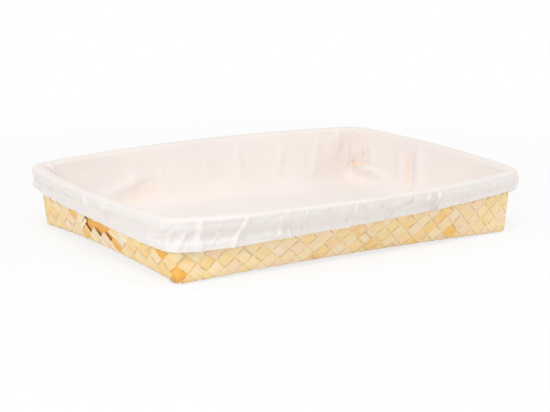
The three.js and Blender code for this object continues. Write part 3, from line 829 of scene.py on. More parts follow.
def bamboo_finish(name, stops, edge):
    """Split bamboo: long fibres, a tone for each strip, brown edges that are partly painted shade of the
    gaps between strips, and rings where the cane had nodes.
    """
    finish = Finish(name)
    tree = finish.tree
    keys = ("tone", "along", "across", "cut", "end")
    tone, along, across, cut, end = (attribute(tree, key) for key in keys)

    def streaks(per_metre, per_width, salt, detail=1, roughness=0.5):
        """Noise drawn out along a strip, other for each tone."""
        place = vector(tree, along * per_metre, across * per_width, tone * salt)
        return noise(tree, place, detail=detail, roughness=roughness)

    fibres = streaks(26, 9, 91, detail=4, roughness=0.65)
    patches = streaks(44, 0.6, 57)
    body = ramp(tree, tone + (patches - 0.5) * 0.26, stops)
    grain = ramp(tree, fibres, [(0.32, colour(240, 198, 138)), (0.6, colour(255, 255, 255))])
    streaked = mixed(tree, 0.24, body, grain, "MULTIPLY")
    ring = abs((along * 3.1 + tone * 13.7).fraction() - 0.5).step(0.006, 0.002)
    ringed = mixed(tree, ring * 0.35, streaked, colour(186, 136, 76))
    # Dark brown along the strips' edges, strong on the lower edge and weak on the upper, broken by noise:
    # the bamboo's brown skin together with painted shade of the gaps beside the raised strips.
    edge_breaks = streaks(150, 1.5, 31)
    lower = across.step(0.84, 0.97) * edge_breaks.step(0.42, 0.58)
    upper = across.step(-0.92, -0.99) * edge_breaks.step(0.5, 0.62) * 0.5
    brown_and_shaded_edges = mixed(tree, (lower + upper) * 0.6, ringed, edge)
    doubled = across.step(0.5, 0.68) * end.step(3.4, 2.6)
    pale = mixed(tree, cut.most(doubled), brown_and_shaded_edges, colour(255, 247, 224))
    return finish.set(
        Base_Color=pale,
        Roughness=fibres * 0.2 + 0.4,
        Normal=bump(tree, fibres * 0.5 + ring, 0.35, 0.0003),
        Specular_IOR_Level=0.35,
    )


def strip_finish():
    stops = [
        (0.0, colour(255, 230, 172)),
        (0.25, colour(255, 237, 202)),
        (0.45, colour(255, 221, 150)),
        (0.6, colour(255, 238, 210)),
        (0.75, colour(255, 227, 193)),
        (0.86, colour(253, 212, 126)),
        (1.0, colour(248, 188, 86)),
    ]
    # The edges' dark brown: the bamboo's skin, and painted shade of the gaps between strips.
    return bamboo_finish("split_bamboo", stops, colour(150, 98, 44))


def sliver_finish():
    stops = [(0.0, colour(196, 140, 72)), (0.5, colour(236, 196, 132)), (1.0, colour(250, 224, 172))]
    return bamboo_finish("frayed_bamboo", stops, colour(128, 82, 36))


def rim_finish():
    stops = [(0.0, colour(214, 176, 112)), (0.5, colour(230, 200, 140)), (1.0, colour(238, 210, 156))]
    return bamboo_finish("rim_bamboo", stops, colour(168, 120, 62))


def slat_finish():
    stops = [(0.0, colour(238, 170, 74)), (0.5, colour(250, 190, 88)), (1.0, colour(253, 206, 112))]
    return bamboo_finish("slat_bamboo", stops, colour(150, 92, 34))


def cotton_finish():
    """White plain-weave cotton: crossing threads, slight slubs, painted warm shade in the dips and creases
    inside the tray, and a skirt painted lighter than the cloth inside.
    """
    finish = Finish("white_cotton")
    tree = finish.tree
    place = add(tree, "ShaderNodeUVMap", {"uv_map": "cloth"})
    along = add(tree, "ShaderNodeSeparateXYZ", None, {0: place})
    up = along.other(1)
    thread = 2 * math.pi / (THREAD_PITCH * MM)
    weave = (along * thread).sine() * (up * thread).sine()
    slubs = noise(tree, vector(tree, along * 300, up * 1400, 0.0))
    patches = noise(tree, vector(tree, along * 13, up * 18, 0.0))
    # One cotton painted darker and warmer inside the tray than on the skirt: painted light and shade, a
    # shaded and a lit copy of the same cloth
    plain = mixed(tree, patches.step(0.35, 0.65), colour(242, 233, 229), colour(244, 236, 230))
    skirt = mixed(tree, attribute(tree, "skirt"), plain, colour(245, 240, 237))
    # Painted warm shade in the dips and creases of the cloth inside the tray
    tint = mixed(tree, attribute(tree, "close"), skirt, colour(250, 222, 186))
    return finish.set(
        Base_Color=tint,
        Roughness=0.92,
        Normal=bump(tree, weave * 0.25 + slubs, 0.12, 0.0003),
        Specular_IOR_Level=0.2,
        Sheen_Weight=0.15,
        Sheen_Roughness=0.5,
    )


def position(tree):
    """Place on the piece, in metres."""
    return add(tree, "ShaderNodeTexCoord", output="Object")


def mottled(name, scale, detail, dark, light):
    """A finish whose tint fine marks vary, with that tint and the marks."""
    finish = Finish(name)
    marks = noise(finish.tree, position(finish.tree), scale=scale, detail=detail)
    return finish, mixed(finish.tree, marks, dark, light), marks


def thread_finish():
    shades = colour(245, 240, 236), colour(252, 249, 246)
    finish, tint, twist = mottled("white_thread", 2600, 1, *shades)
    return finish.set(Base_Color=tint, Roughness=0.8, Normal=bump(finish.tree, twist, 0.4, 0.0002))


def elastic_finish():
    shades = colour(226, 223, 217), colour(240, 238, 233)
    finish, tint, ribs = mottled("knitted_elastic", 1500, 1, *shades)
    return finish.set(Base_Color=tint, Roughness=0.85, Normal=bump(finish.tree, ribs, 0.5, 0.0003))


def steel_finish():
    shades = colour(150, 149, 146), colour(204, 203, 200)
    finish, tint, marks = mottled("bright_nail", 900, 3, *shades)
    return finish.set(Base_Color=tint, Metallic=0.9, Roughness=marks * 0.3 + 0.22)


# Plaited body

def plait_recipe():
    """Waves each strip over and under, and gives it thickness."""
    sizes = dict.fromkeys(("Rise", "Thickness", "Depth", "Looseness", "Curl", "Doubling"), float)
    recipe = Recipe("plait", sizes | {"Seed": int, "Material": bpy.types.Material})
    out = recipe.named("out", "FLOAT_VECTOR")
    strip = recipe.named("strip")
    end = recipe.named("end")
    wave = ((recipe.named("beat") * math.pi).cosine() * (math.pi / 2)).sine()
    loose = recipe.random(-1.0, 0.0, strip, 1) * recipe["Looseness"]
    lifted = (recipe.named("across") + 1) * 0.5
    curl = end.step(1.6, 0.0) * recipe["Curl"] * lifted * recipe.random(0.5, 1.0, strip, 2)
    lift = recipe["Depth"] + wave * recipe["Rise"] + loose + curl
    low = lift - recipe["Thickness"] * 0.5
    thickness = recipe["Thickness"] * (end.step(1.2, 0.2) * recipe["Doubling"] + 1)

    values = {"Geometry": recipe.geometry, "Offset": recipe.scaled(out, low)}
    under = recipe.add("GeometryNodeSetPosition", None, values)
    values = {"Mesh": under, "Individual": False, "Offset": out, "Offset Scale": thickness}
    thick = recipe.add("GeometryNodeExtrudeMesh", {"mode": "FACES"}, values)
    marked = recipe.store(thick, "cut", thick.other("Side"), "FACE")
    turned = recipe.add("GeometryNodeFlipFaces", None, {"Mesh": under})
    joined = recipe.add("GeometryNodeJoinGeometry", None, {0: marked})
    recipe.tree.links.new(turned.socket, joined.socket.node.inputs[0])
    values = {"Geometry": joined, "Distance": 0.02 * MM}
    whole = recipe.add("GeometryNodeMergeByDistance", None, values)

    smooth = recipe.add("GeometryNodeSetShadeSmooth", {"domain": "FACE"}, {"Geometry": whole})
    soft = recipe.add("GeometryNodeInputMeshEdgeAngle").below(0.8)
    values = {"Geometry": smooth, "Shade Smooth": soft}
    crisp = recipe.add("GeometryNodeSetShadeSmooth", {"domain": "EDGE"}, values)
    return recipe.finish(crisp)


def in_slot(point):
    """Whether a place on the wall lies in a hand slot."""
    x, y, z = np.moveaxis(point, -1, 0)
    short_wall = np.abs(x) > BASE_LENGTH / 2 - BASE_CORNER_RADIUS
    return short_wall & (np.abs(y) < SLOT_HALF) & (z > SLOT_BOTTOM) & (z < SLOT_TOP)


class Strip:
    """One strip of the plait. Its place s along its run is counted in crossings, as column i is."""

    def __init__(self, rising, line):
        self.rising = rising
        self.line = line
        self.enter = max(-CELLS_X, line - CELLS_Y)
        self.leave = min(CELLS_X, line + CELLS_Y)
        near, far = (FRONT, BACK) if rising else (BACK, FRONT)
        self.first_side = LEFT if self.enter == -CELLS_X else near
        self.last_side = RIGHT if self.leave == CELLS_X else far

    def place(self, s, w, width):
        """Lattice place at s, w of the way from the middle line to an edge."""
        half = 0.5 * w * width
        if self.rising:
            return s + half, s - self.line - half
        return s + half, self.line - s + half

    def lean(self, side):
        """How the row number changes from one edge of the strip to the other on a wall."""
        outward = {RIGHT: (1, 0), BACK: (0, 1), LEFT: (-1, 0), FRONT: (0, -1)}[side]
        across = (1, -1) if self.rising else (1, 1)
        return outward[0] * across[0] + outward[1] * across[1]

    def points(self, s, w, width):
        """Points of the strip: each half of its run climbs the wall that it ends on."""
        i, j = self.place(s, w, width)
        first = plait_point(self.first_side, i, j)
        last = plait_point(self.last_side, i, j)
        early = (np.asarray(s) * np.ones_like(w) < (self.enter + self.leave) / 2)[..., None]
        return np.where(early, first, last)

    def spans(self):
        """Stretches of the strip that are left when the hand slots are cut, and which ends are cut."""
        start, end = self.enter - ROWS, self.leave + ROWS
        s = np.linspace(start, end, int((end - start) * CUT_SAMPLES))
        gone = in_slot(self.points(s, np.zeros_like(s), 1.0))
        spans = []
        edges = np.flatnonzero(np.diff(gone.astype(int)))
        marks = [start, *(float(s[k]) for k in edges), end]
        keep = not gone[0]
        for low, high in zip(marks[:-1], marks[1:]):
            if keep and high - low > SHORTEST_STRIP:
                spans.append((low, high, low > start, high < end))
            keep = not keep
        return spans

    def ribbon(self, span, width):
        """A span's grid of points, its normals, its places along and across, and how far cut ends are."""
        low, high, low_cut, high_cut = span
        rows = max(4, int(round((high - low) * STRIP_SAMPLES)) + 1)
        s = np.linspace(low, high, rows)[:, None]
        w = np.linspace(-1, 1, STRIP_COLUMNS)[None, :]
        half = 0.5 * w * width
        slant = np.zeros((rows, STRIP_COLUMNS))
        if not low_cut:
            slant += half * self.lean(self.first_side) * clamped(1 - (s - low) / RIM_END_REACH)
        if not high_cut:
            slant -= half * self.lean(self.last_side) * clamped(1 - (high - s) / RIM_END_REACH)
        place = s + slant
        across = w * np.ones_like(place)
        points = self.points(place, across, width)
        normals = grid_normals(points) * (1 if self.rising else -1)
        far = np.full_like(place, FAR_FROM_CUT)
        if low_cut:
            far = np.minimum(far, place - low)
        if high_cut:
            far = np.minimum(far, high - place)
        return points, normals, place, across, far


def plait(name, rising, rng):
    """All strips of one direction as flat ribbons, with the values that their recipe and finish read."""
    points, faces, values = [], [], []
    count = 0
    reach = CELLS_X + CELLS_Y - 1
    for number, line in enumerate(range(-reach, reach + 1, 2)):
        strip = Strip(rising, line)
        width = rng.uniform(*STRIP_WIDTHS)
        tone = rng.uniform(*STRIP_TONES)
        strong = STRONG_TONES.get((rising, line), tone)
        for span in strip.spans():
            grid, normals, place, across, end = strip.ribbon(span, width)
            share = clamped((strip.enter + STRONG_REACH - place) / STRONG_REACH)
            quads = grid_faces(*place.shape, start=count)
            faces.append(quads if rising else quads[:, ::-1])
            points.append(grid.reshape(-1, 3))
            count += place.size
            values.append({
                "out": normals.reshape(-1, 3),
                "beat": (place + (0 if rising else 1)).ravel(),
                "along": place.ravel() * STRIP_SPACING * MM,
                "across": across.ravel(),
                "strip": np.full(place.size, number + (0 if rising else FALLING_NUMBERS)),
                "end": end.ravel(),
                "tone": (tone + (strong - tone) * share).ravel(),
            })
    values = {key: np.concatenate([part[key] for part in values]) for key in values[0]}
    return object_of(name, np.concatenate(points), np.concatenate(faces), values)


def build_plait(finish):
    """The rising strips and the falling ones."""
    rng = np.random.default_rng(11)
    tree = plait_recipe()
    sizes = {
        "rise": STRIP_RISE * MM,
        "thickness": STRIP_THICKNESS * MM,
        "depth": PLAIT_DEPTH * MM,
        "looseness": LOOSENESS * MM,
        "curl": END_CURL * MM,
        "doubling": END_DOUBLING,
    }
    made = []
    for name, rising, seed in (("strips_rising", True, 4), ("strips_falling", False, 9)):
        source = plait("flat_" + name, rising, rng)
        made.append(made_by(tree, source, name, seed=seed, material=finish, **sizes))
    return made


def bar_values(along, across, tone):
    """What the bamboo finish reads on the points of a bar, which shows no cut ends."""
    cut, end = np.zeros(len(along)), np.full(len(along), FAR_FROM_CUT)
    return {"along": along * MM, "across": across, "tone": tone, "cut": cut, "end": end}


def build_slivers(finish):
    """Fibres split off the strips that bend round the corner: thin bars that bow out from the wall."""
    t = np.linspace(0, 1, SLIVER_SAMPLES)
    sides = len(SLIVER_SECTION)
    size = sides * len(t)
    points, faces = [], []
    for number, sliver in enumerate(SLIVERS):
        (a0, z0), (a1, z1) = sliver.start, sliver.end
        a, z = a0 + (a1 - a0) * t, z0 + (z1 - z0) * t
        # Narrow at both ends, and furthest off the wall a little above the middle
        half = sliver.width / 2 * np.sin(math.pi * (0.12 + 0.8 * t)) ** 0.7
        offset = CROWN_RISE + sliver.bow * np.sin(math.pi * t**0.8)
        ring = [
            wall_point(a + way * half / HALF_PITCH_X, z + way * half / 2, offset + deep)
            for way, deep in SLIVER_SECTION
        ]
        faces += bar_faces(len(t), sides, start=number * size)
        points.append(np.stack(ring, 1).reshape(-1, 3))
    along = np.tile(np.repeat(t * SLIVER_LENGTH, sides), len(SLIVERS))
    across = np.tile([-0.95, 0.95, 0.95, -0.95], len(t) * len(SLIVERS))
    tone = np.repeat([sliver.tone for sliver in SLIVERS], size)
    values = bar_values(along, across, tone)
    return object_of("corner_slivers", np.concatenate(points), faces, values, finish)


# Rim splints, slats and elastic

def loft(name, sections, steps, finish, tone=0.5, closed=False):
    """A bar through closed sections of points, one for each step, with capped ends or run into a ring."""
    rows, columns = sections.shape[:2]
    along = np.repeat(np.asarray(steps) * HALF_PITCH_X, columns)
    # Short of -1 and 1, where the finish draws the brown edges of a strip
    across = np.tile(np.linspace(-0.8, 0.8, columns), rows)
    values = bar_values(along, across, np.full(rows * columns, tone))
    return object_of(name, sections.reshape(-1, 3), bar_faces(rows, columns, closed), values, finish)


def node_swell(a):
    """How far the cane's nodes stand out: bamboo swells a little at them, and lies lower between."""
    gap = (a % NODE_SPACING) - NODE_SPACING / 2
    return NODE_SWELL * (bell(gap, NODE_WIDTH) - 1)


def nail_dimple(a, z):
    """How far a driven nail presses the outer splint in around its head."""
    reach = np.min(np.hypot(wrapped(NAIL_STEPS - a, AROUND) * HALF_PITCH_X, z - HOOP_LEVEL))
    return DIMPLE_DEPTH * math.exp(-((reach / NAIL_HEAD_RADIUS / DIMPLE_REACH) ** 4))


def hoop(name, section, thickness, seat, start, finish, tone):
    """A splint bent round the tray, its two ends cut on a long slant where they meet."""
    slant = SCARF_LENGTH / HALF_PITCH_X / thickness
    first = start + (SCARF_LENGTH + SCARF_GAP) / HALF_PITCH_X
    end = start + AROUND - SCARF_GAP / HALF_PITCH_X
    last = end - SCARF_ROOM
    by_nails = NAIL_STEPS[:, None] + DIMPLE_SAMPLES
    by_nails = by_nails + AROUND * (by_nails < first)
    inside = np.concatenate([np.arange(first, last, BAR_STEP), by_nails[by_nails < last]])
    steps = [start, *np.unique(inside.round(3)), end]
    sections = []
    for number, a in enumerate(steps):
        outline = section(a)
        at_end = number in (0, len(steps) - 1)
        lean = [slant * (offset - seat) if at_end else 0.0 for offset, _ in outline]
        sections.append([wall_point(a + more, z, offset) for more, (offset, z) in zip(lean, outline)])
    return loft(name, np.array(sections), steps, finish, tone)


def rounded_bar(inner, outer, low, high, radius):
    """Offsets and heights of a bar's section, its corners rounded."""
    places = []
    corners = ((inner, low), (outer, low), (outer, high), (inner, high))
    for number, (offset, z) in enumerate(corners):
        centre_offset = offset + radius * (1 if offset == inner else -1)
        centre_z = z + radius * (1 if z == low else -1)
        for turn in np.radians([0, 30, 60, 90]) + math.pi / 2 * (number + 2):
            places.append((centre_offset + radius * math.cos(turn), centre_z + radius * math.sin(turn)))
    return np.array(places)


def build_hoops(finish):
    """The half-round outer splint, joined at the back, and the flat inner one, joined at the front."""
    inner_face = INNER_HOOP_SEAT - INNER_HOOP_THICKNESS

    def outer(a):
        outline = []
        for t in np.linspace(-math.pi / 2, math.pi / 2, OUTER_HOOP_SAMPLES):
            z = HOOP_LEVEL + HOOP_HEIGHT / 2 * math.sin(t)
            bulge = (OUTER_HOOP_THICKNESS + node_swell(a)) * math.cos(t)
            outline.append((OUTER_HOOP_SEAT + max(bulge - nail_dimple(a, z), 0.0), z))
        return outline

    def inner(a):
        return rounded_bar(inner_face, INNER_HOOP_SEAT, HOOP_FOOT, WALL_HEIGHT, INNER_HOOP_ROUNDING)

    back = float(SIDE_STARTS[BACK] + SIDE_STEPS[BACK] / 2)
    front = float(SIDE_STEPS[FRONT] / 2)
    return [
        hoop("outer_splint", outer, OUTER_HOOP_THICKNESS, OUTER_HOOP_SEAT, back, finish, 0.35),
        hoop("inner_splint", inner, INNER_HOOP_THICKNESS, inner_face, front, finish, 0.7),
    ]


def build_slat(side, finish):
    """The slat behind a hand slot, its edges rounded and its ends trimmed."""
    middle = float(SIDE_STARTS[side] + SIDE_STEPS[side] / 2)
    level = (SLAT_LOW.z + SLAT_HIGH.z) / 2
    stride = np.linalg.norm(wall_point(middle, level) - wall_point(middle + 1, level))
    reach = SLAT_HIGH.y / stride
    steps = np.linspace(middle - reach, middle + reach, SLAT_SAMPLES)
    outline = rounded_bar(SLAT_INNER, SLAT_OUTER, SLAT_LOW.z, SLAT_HIGH.z, SLAT_ROUNDING)
    centre = outline.mean(0)
    sections = []
    for number, a in enumerate(steps):
        at_end = number in (0, SLAT_SAMPLES - 1)
        offset, z = (centre + (outline - centre) * (1 - at_end * SLAT_END_TRIM)).T
        sections.append(wall_point(a, z, offset))
    return loft(SLAT_NAMES[side], np.array(sections), steps, finish, SLAT_TONES[side])


def build_elastic(finish):
    """A flat knitted band that runs round inside the hem."""
    steps = np.arange(0, AROUND, BAR_STEP)
    sections = []
    for a in steps:
        low = float(hem_height(a)) + ELASTIC_UP
        high = low + ELASTIC_WIDTH
        offset, z = rounded_bar(ELASTIC_INNER, ELASTIC_OUTER, low, high, ELASTIC_ROUNDING).T
        sections.append(wall_point(a, z, skirt_hang(np.array(a)).hem_out + offset))
    return loft("elastic_band", np.array(sections), steps, finish, closed=True)


# Nails and stitches, each shape repeated along a run of points

def repeated_recipe(name, segments, rings):
    """Places a small rounded shape on each point, its z axis along `out` and its x axis along `along`."""
    sizes = dict.fromkeys(("Length", "Radius", "Height"), float)
    recipe = Recipe(name, sizes | {"Material": bpy.types.Material})
    axes = {"primary_axis": "Z", "secondary_axis": "X"}
    aims = {
        "Primary Axis": recipe.named("out", "FLOAT_VECTOR"),
        "Secondary Axis": recipe.named("along", "FLOAT_VECTOR"),
    }
    ball = {"Segments": segments, "Rings": rings, "Radius": 1.0}
    values = {
        "Points": recipe.geometry,
        "Instance": recipe.add("GeometryNodeMeshUVSphere", None, ball),
        "Rotation": recipe.add("FunctionNodeAxesToRotation", axes, aims),
        "Scale": vector(recipe.tree, recipe["Length"], recipe["Radius"], recipe["Height"]),
    }
    placed = recipe.add("GeometryNodeInstanceOnPoints", None, values)
    smooth = recipe.add("GeometryNodeSetShadeSmooth", None, {"Geometry": placed})
    return recipe.finish(smooth)


def repeated(name, places, aims, half_sizes, detail, finish):
    """A rounded shape on each place, from half its length, width and height, and its detail."""
    out, along = aims
    length, radius, height = (value * MM for value in half_sizes)
    source = object_of(name + "_places", places, [], {"out": out, "along": along}, smooth=False)
    tree = repeated_recipe(name + "_shape", *detail)
    sizes = {"length": length, "radius": radius, "height": height}
    return made_by(tree, source, name, material=finish, **sizes)


def build_nails(finish):
    """The nails' heads, which sit in their dimples on the crest of the outer splint."""
    head = OUTER_HOOP_SEAT + OUTER_HOOP_THICKNESS - DIMPLE_DEPTH
    places = wall_point(NAIL_STEPS, HOOP_LEVEL, head)
    out = wall_point(NAIL_STEPS, HOOP_LEVEL, head + 1) - places
    along = wall_point(NAIL_STEPS + 0.05, HOOP_LEVEL, head) - places
    sizes = (NAIL_HEAD_RADIUS, NAIL_HEAD_RADIUS, NAIL_HEAD_RISE)
    return repeated("nail_heads", places, (out, along), sizes, NAIL_HEAD_DETAIL, finish)


def build_stitches(side, points, normals, finish):
    """The row of topstitching that closes the elastic's casing."""
    rows = slice(side.rim_at, side.hem_at + 1)
    above = side.above_hem()[:, rows]

    def on_line(grid):
        """The grid's values where each profile crosses the stitches' height over the hem."""
        return np.array([
            [np.interp(-STITCH_UP, -up, places[:, axis]) for axis in range(3)]
            for up, places in zip(above, grid[:, rows])
        ])

    facing = on_line(normals)
    line = on_line(points) + facing * STITCH_RISE
    run = np.concatenate([[0], np.cumsum(np.linalg.norm(np.roll(line, -1, 0) - line, axis=-1))])
    marks = np.linspace(0, run[-1], round(run[-1] / STITCH_PITCH) + 1)[:-1]

    def at(values, place):
        ring = np.concatenate([values, values[:1]])
        return np.stack([np.interp(place % run[-1], run, ring[:, axis]) for axis in range(3)], -1)

    aims = at(facing, marks), at(line, marks + STITCH_AIM) - at(line, marks - STITCH_AIM)
    sizes = (STITCH_HALF, THREAD_RADIUS, THREAD_RADIUS)
    return repeated("hem_stitches", at(line, marks), aims, sizes, STITCH_DETAIL, finish)


# Cotton liner

def hem_height(a):
    """Height of the skirt's hem at steps a: a closed, even Catmull-Rom curve."""
    count = len(HEM_HEIGHTS)
    place = np.mod(a, AROUND) / AROUND * count
    first = np.floor(place).astype(int)
    t = place - first
    before, here, there, after = (HEM_HEIGHTS[(first + k) % count] for k in (-1, 0, 1, 2))
    bend = (2 * before - 5 * here + 4 * there - after) * t**2
    twist = (3 * here - before - 3 * there + after) * t**3
    return (2 * here + (there - before) * t + bend + twist) / 2


def blurred(ring, spread):
    """A closed ring of values smoothed over a spread counted in its points."""
    count = len(ring)
    reach = np.minimum(np.arange(count), count - np.arange(count))
    kernel = np.exp(-((reach / spread) ** 2) / 2)
    spectrum = np.fft.fft(kernel / kernel.sum())
    flat = ring.reshape(count, -1)
    smooth = np.fft.ifft(np.fft.fft(flat, axis=0) * spectrum[:, None], axis=0).real
    return smooth.reshape(ring.shape)


def lattice_noise(x, y, across, seed):
    """Smooth noise from 0 to 1 that repeats after `across` units of x."""
    values = np.random.default_rng(seed).random((across, NOISE_ROWS))
    column, row = np.floor(x).astype(int), np.floor(y).astype(int)

    def eased(share):
        return share * share * (3 - 2 * share)

    def at(more_x, more_y):
        return values[(column + more_x) % across, (row + more_y) % NOISE_ROWS]

    fx, fy = eased(x - column), eased(y - row)
    near = at(0, 0) * (1 - fx) + at(1, 0) * fx
    far = at(0, 1) * (1 - fx) + at(1, 1) * fx
    return near * (1 - fy) + far * fy


def floor_height(x, y):
    """Height of the floor panel, which lies on the plait's inner face."""
    u = np.clip(x / (BASE_LENGTH / 2), -1, 1)
    v = np.clip(y / (BASE_WIDTH / 2), -1, 1)
    return VALLEY + arch_at(u, v) + FLOOR_UP


def resampled(path, count):
    """Points evenly spaced along each of many paths, given as (paths, points, 2)."""
    steps = np.linalg.norm(np.diff(path, axis=1), axis=-1)
    run = np.concatenate([np.zeros((len(path), 1)), np.cumsum(steps, 1)], 1)
    share = np.linspace(0, 1, count)
    out = np.empty((len(path), count, 2))
    for k, (line, lengths) in enumerate(zip(path, run)):
        for axis in range(2):
            out[k, :, axis] = np.interp(share * lengths[-1], lengths, line[:, axis])
    return out


Hang = namedtuple("Hang", "tuck billow hem_out pinch")


def skirt_hang(a):
    """How the skirt hangs at steps a: its tuck under the rim, its billow, the hem's offset, its pinch."""

    def near(place, reach=CORNER_REACH):
        return bell(wrapped(a - place, AROUND), reach)

    corners = {side: near(SIDE_STARTS[side]) for side in (RIGHT, BACK, LEFT)}
    front_left = near(0, NEAR_REACH)
    left_end = near(SIDE_STARTS[LEFT] + LEFT_END_STEP, LEFT_END_REACH)
    slots = sum(near(SIDE_STARTS[side] + CELLS_Y, SLOT_REACH) for side in (RIGHT, LEFT))
    tuck = SKIRT_TUCK + (NEAR_TUCK - SKIRT_TUCK) * np.maximum(front_left, left_end)
    tuck = tuck + sum(CORNER_TUCK[side] * share for side, share in corners.items()) + SLOT_TUCK * slots
    billow = sum(CORNER_BILLOW[side] * share for side, share in corners.items())
    hem_out = HEM_OUT + (HEM_AT_CORNER - HEM_OUT) * sum(corners.values()) + NEAR_HEM_OUT * front_left
    pinch = np.minimum(sum(near(place, reach) for place, reach in PINCHED), 1)
    return Hang(tuck, billow, hem_out, pinch)


def rim_path():
    """Offsets and heights of the cloth over the rim: up to the crest and round the outer splint."""
    crest = OUTER_HOOP_SEAT
    rise = np.linspace(0, math.pi / 2, RISE_SAMPLES)
    inner = np.stack([
        crest - (crest - LINER_WALL) * np.cos(rise) ** RIM_BEND,
        LINER_WALL_TOP + (RIM_TOP - LINER_WALL_TOP) * np.sin(rise) ** RIM_BEND,
    ], -1)
    dome = np.linspace(math.pi / 2, -RIM_UNDER, DOME_SAMPLES)[1:]
    square = np.where(dome > 0, RIM_SQUARENESS, 1.0)
    outer = np.stack([
        crest + (OUTER_HOOP_THICKNESS + RIM_GAP) * np.cos(dome) ** square,
        HOOP_LEVEL + (RIM_TOP - HOOP_LEVEL) * np.sign(dome) * np.abs(np.sin(dome)) ** square,
    ], -1)
    return resampled(np.concatenate([inner, outer])[None], RIM_POINTS)[0]


class SideCloth:
    """The liner's side panel as a grid: a profile of points, from floor seam to hem, at each step round."""

    def __init__(self, per_step):
        self.a = np.arange(AROUND * per_step) / per_step
        self.per_step = per_step
        fillet = self.fillet()
        path = self.over_rim()
        outside = wall_point(self.a[:, None], path[..., 1], path[..., 0])
        self.points = np.concatenate([fillet[:, :-1], self.up_wall(fillet[:, -1]), outside], 1)
        inside = FILLET_POINTS - 1 + WALL_POINTS
        self.standoff = np.pad(path[..., 0], ((0, 0), (inside, 0)))
        self.rim_at = inside + 1 + RIM_POINTS // 3
        self.hem_at = inside + RIM_POINTS - 1 + SKIRT_POINTS - 2
        steps = np.linalg.norm(np.diff(self.points, axis=1), axis=-1)
        self.run = np.concatenate([np.zeros((len(self.a), 1)), np.cumsum(steps, 1)], 1)
        ring = wall_point(self.a, GIRTH_LEVEL)
        steps = np.linalg.norm(np.roll(ring, -1, 0) - ring, axis=-1)
        self.whole = steps.sum()
        self.girth = np.concatenate([[0], np.cumsum(steps)[:-1]])

    def above_hem(self):
        return self.points[..., 2] - hem_height(self.a)[:, None]

    def past_rim(self):
        """Run from the rim's crest, in mm: above 0 on the skirt and below 0 inside the tray."""
        return self.run - self.run[:, self.rim_at][:, None]

    def fillet(self):
        """From the floor seam into the wall, softer at the corners than the bamboo."""
        u, v = shares_at(self.a)
        ring = blurred(base_point(u * FLOOR_SHARE, v * FLOOR_SHARE), SEAM_SOFTNESS * self.per_step)
        ring[:, 2] = floor_height(ring[:, 0], ring[:, 1])
        level = edge_height(self.a) + FLOOR_UP
        foot = wall_point(self.a, level, LINER_WALL - FOOT_IN)
        high = wall_point(self.a, level + FILLET_HEIGHT, LINER_WALL - FILLET_IN)
        foot = blurred(foot, FOOT_SOFTNESS * self.per_step)[:, None]
        high = blurred(high, FILLET_SOFTNESS * self.per_step)[:, None]
        t = np.linspace(0, 1, FILLET_POINTS)[None, :, None]
        return (1 - t) ** 2 * ring[:, None] + 2 * t * (1 - t) * foot + t**2 * high

    def up_wall(self, start):
        """From the fillet's top up the wall, easing from the softened corners to the wall's own."""
        foot = edge_height(self.a)[:, None] + FLOOR_UP + FILLET_HEIGHT
        climb = np.linspace(0, 1, WALL_POINTS)[None, :]
        wall = wall_point(self.a[:, None], foot + (LINER_WALL_TOP - foot) * climb, LINER_WALL)
        soft = (1 - climb[..., None]) ** 3
        return start[:, None] * soft + wall * (1 - soft)

    def over_rim(self):
        """Offsets and heights from the wall's top over the rim, down the skirt and round the hem."""
        a = self.a[:, None]
        hem = hem_height(a)
        hang = skirt_hang(a)
        rim = rim_path()
        (leave_out, leave_z) = rim[-1]
        t = np.linspace(0, 1, SKIRT_SAMPLES)[None, :]
        drop = leave_z + (hem - leave_z) * t
        out = leave_out * (1 - t) ** (3 + PINCH_IN * hang.pinch)
        out = out + hang.tuck * (3 * t * (1 - t)) + hang.hem_out * t ** (3 - PINCH_OUT * hang.pinch)
        out += hang.billow * BILLOW_HEIGHT * t**1.5 * (1 - t) ** 0.5
        cover = clamped((CASING_WIDTH + CASING_EASE - (drop - hem)) / CASING_EASE)
        out += np.maximum(hang.hem_out - CASING_SINK - out, 0) * cover**2 * (3 - 2 * cover)
        skirt = resampled(np.stack([out, drop], -1), SKIRT_POINTS)
        turn = np.linspace(0, HEM_TURN, HEM_POINTS + 1)[None, 1:]
        roll = np.stack([
            hang.hem_out - HEM_ROLL + HEM_ROLL * np.cos(turn),
            hem - HEM_ROLL * np.sin(turn),
        ], -1)
        rim = np.broadcast_to(rim[1:], (len(a), RIM_POINTS - 1, 2))
        return np.concatenate([rim, skirt[:, 1:], roll, roll[:, -1:] + HEM_EDGE], 1)


def add_fold(lift, side, fold, where):
    """Adds a fold's ridge, or its groove where its height is below zero, to how far the cloth stands up."""
    (start, start_z), (end, end_z) = fold.start, fold.end
    start_x, end_x = (np.interp(np.mod(a, AROUND), side.a, side.girth) for a in (start, end))
    run_x = wrapped(end_x - start_x, side.whole)
    length = math.hypot(run_x, end_z - start_z)
    unit_x, unit_z = run_x / length, (end_z - start_z) / length
    dx = wrapped(side.girth - start_x, side.whole)
    near = np.flatnonzero(np.abs(dx - run_x / 2) < abs(run_x) / 2 + FOLD_REACH * fold.width)
    dx = dx[near, None]
    dz = side.points[near, :, 2] - start_z
    share = (dx * unit_x + dz * unit_z) / length
    width = fold.width * np.clip(1 + fold.flare * (share - 0.5), *FLARE_RANGE)
    across = (dx * unit_z - dz * unit_x) / width
    taper = clamped(4 * share * (1 - share)) ** 0.6
    ridge = np.exp(-(np.abs(across) ** 1.7))
    trough = TROUGH_DEPTH * (bell(across - TROUGH_PLACE, 1) + bell(across + TROUGH_PLACE, 1))
    lift[near] += FOLD_STRENGTH * fold.height * taper * (ridge - trough) * where[near]


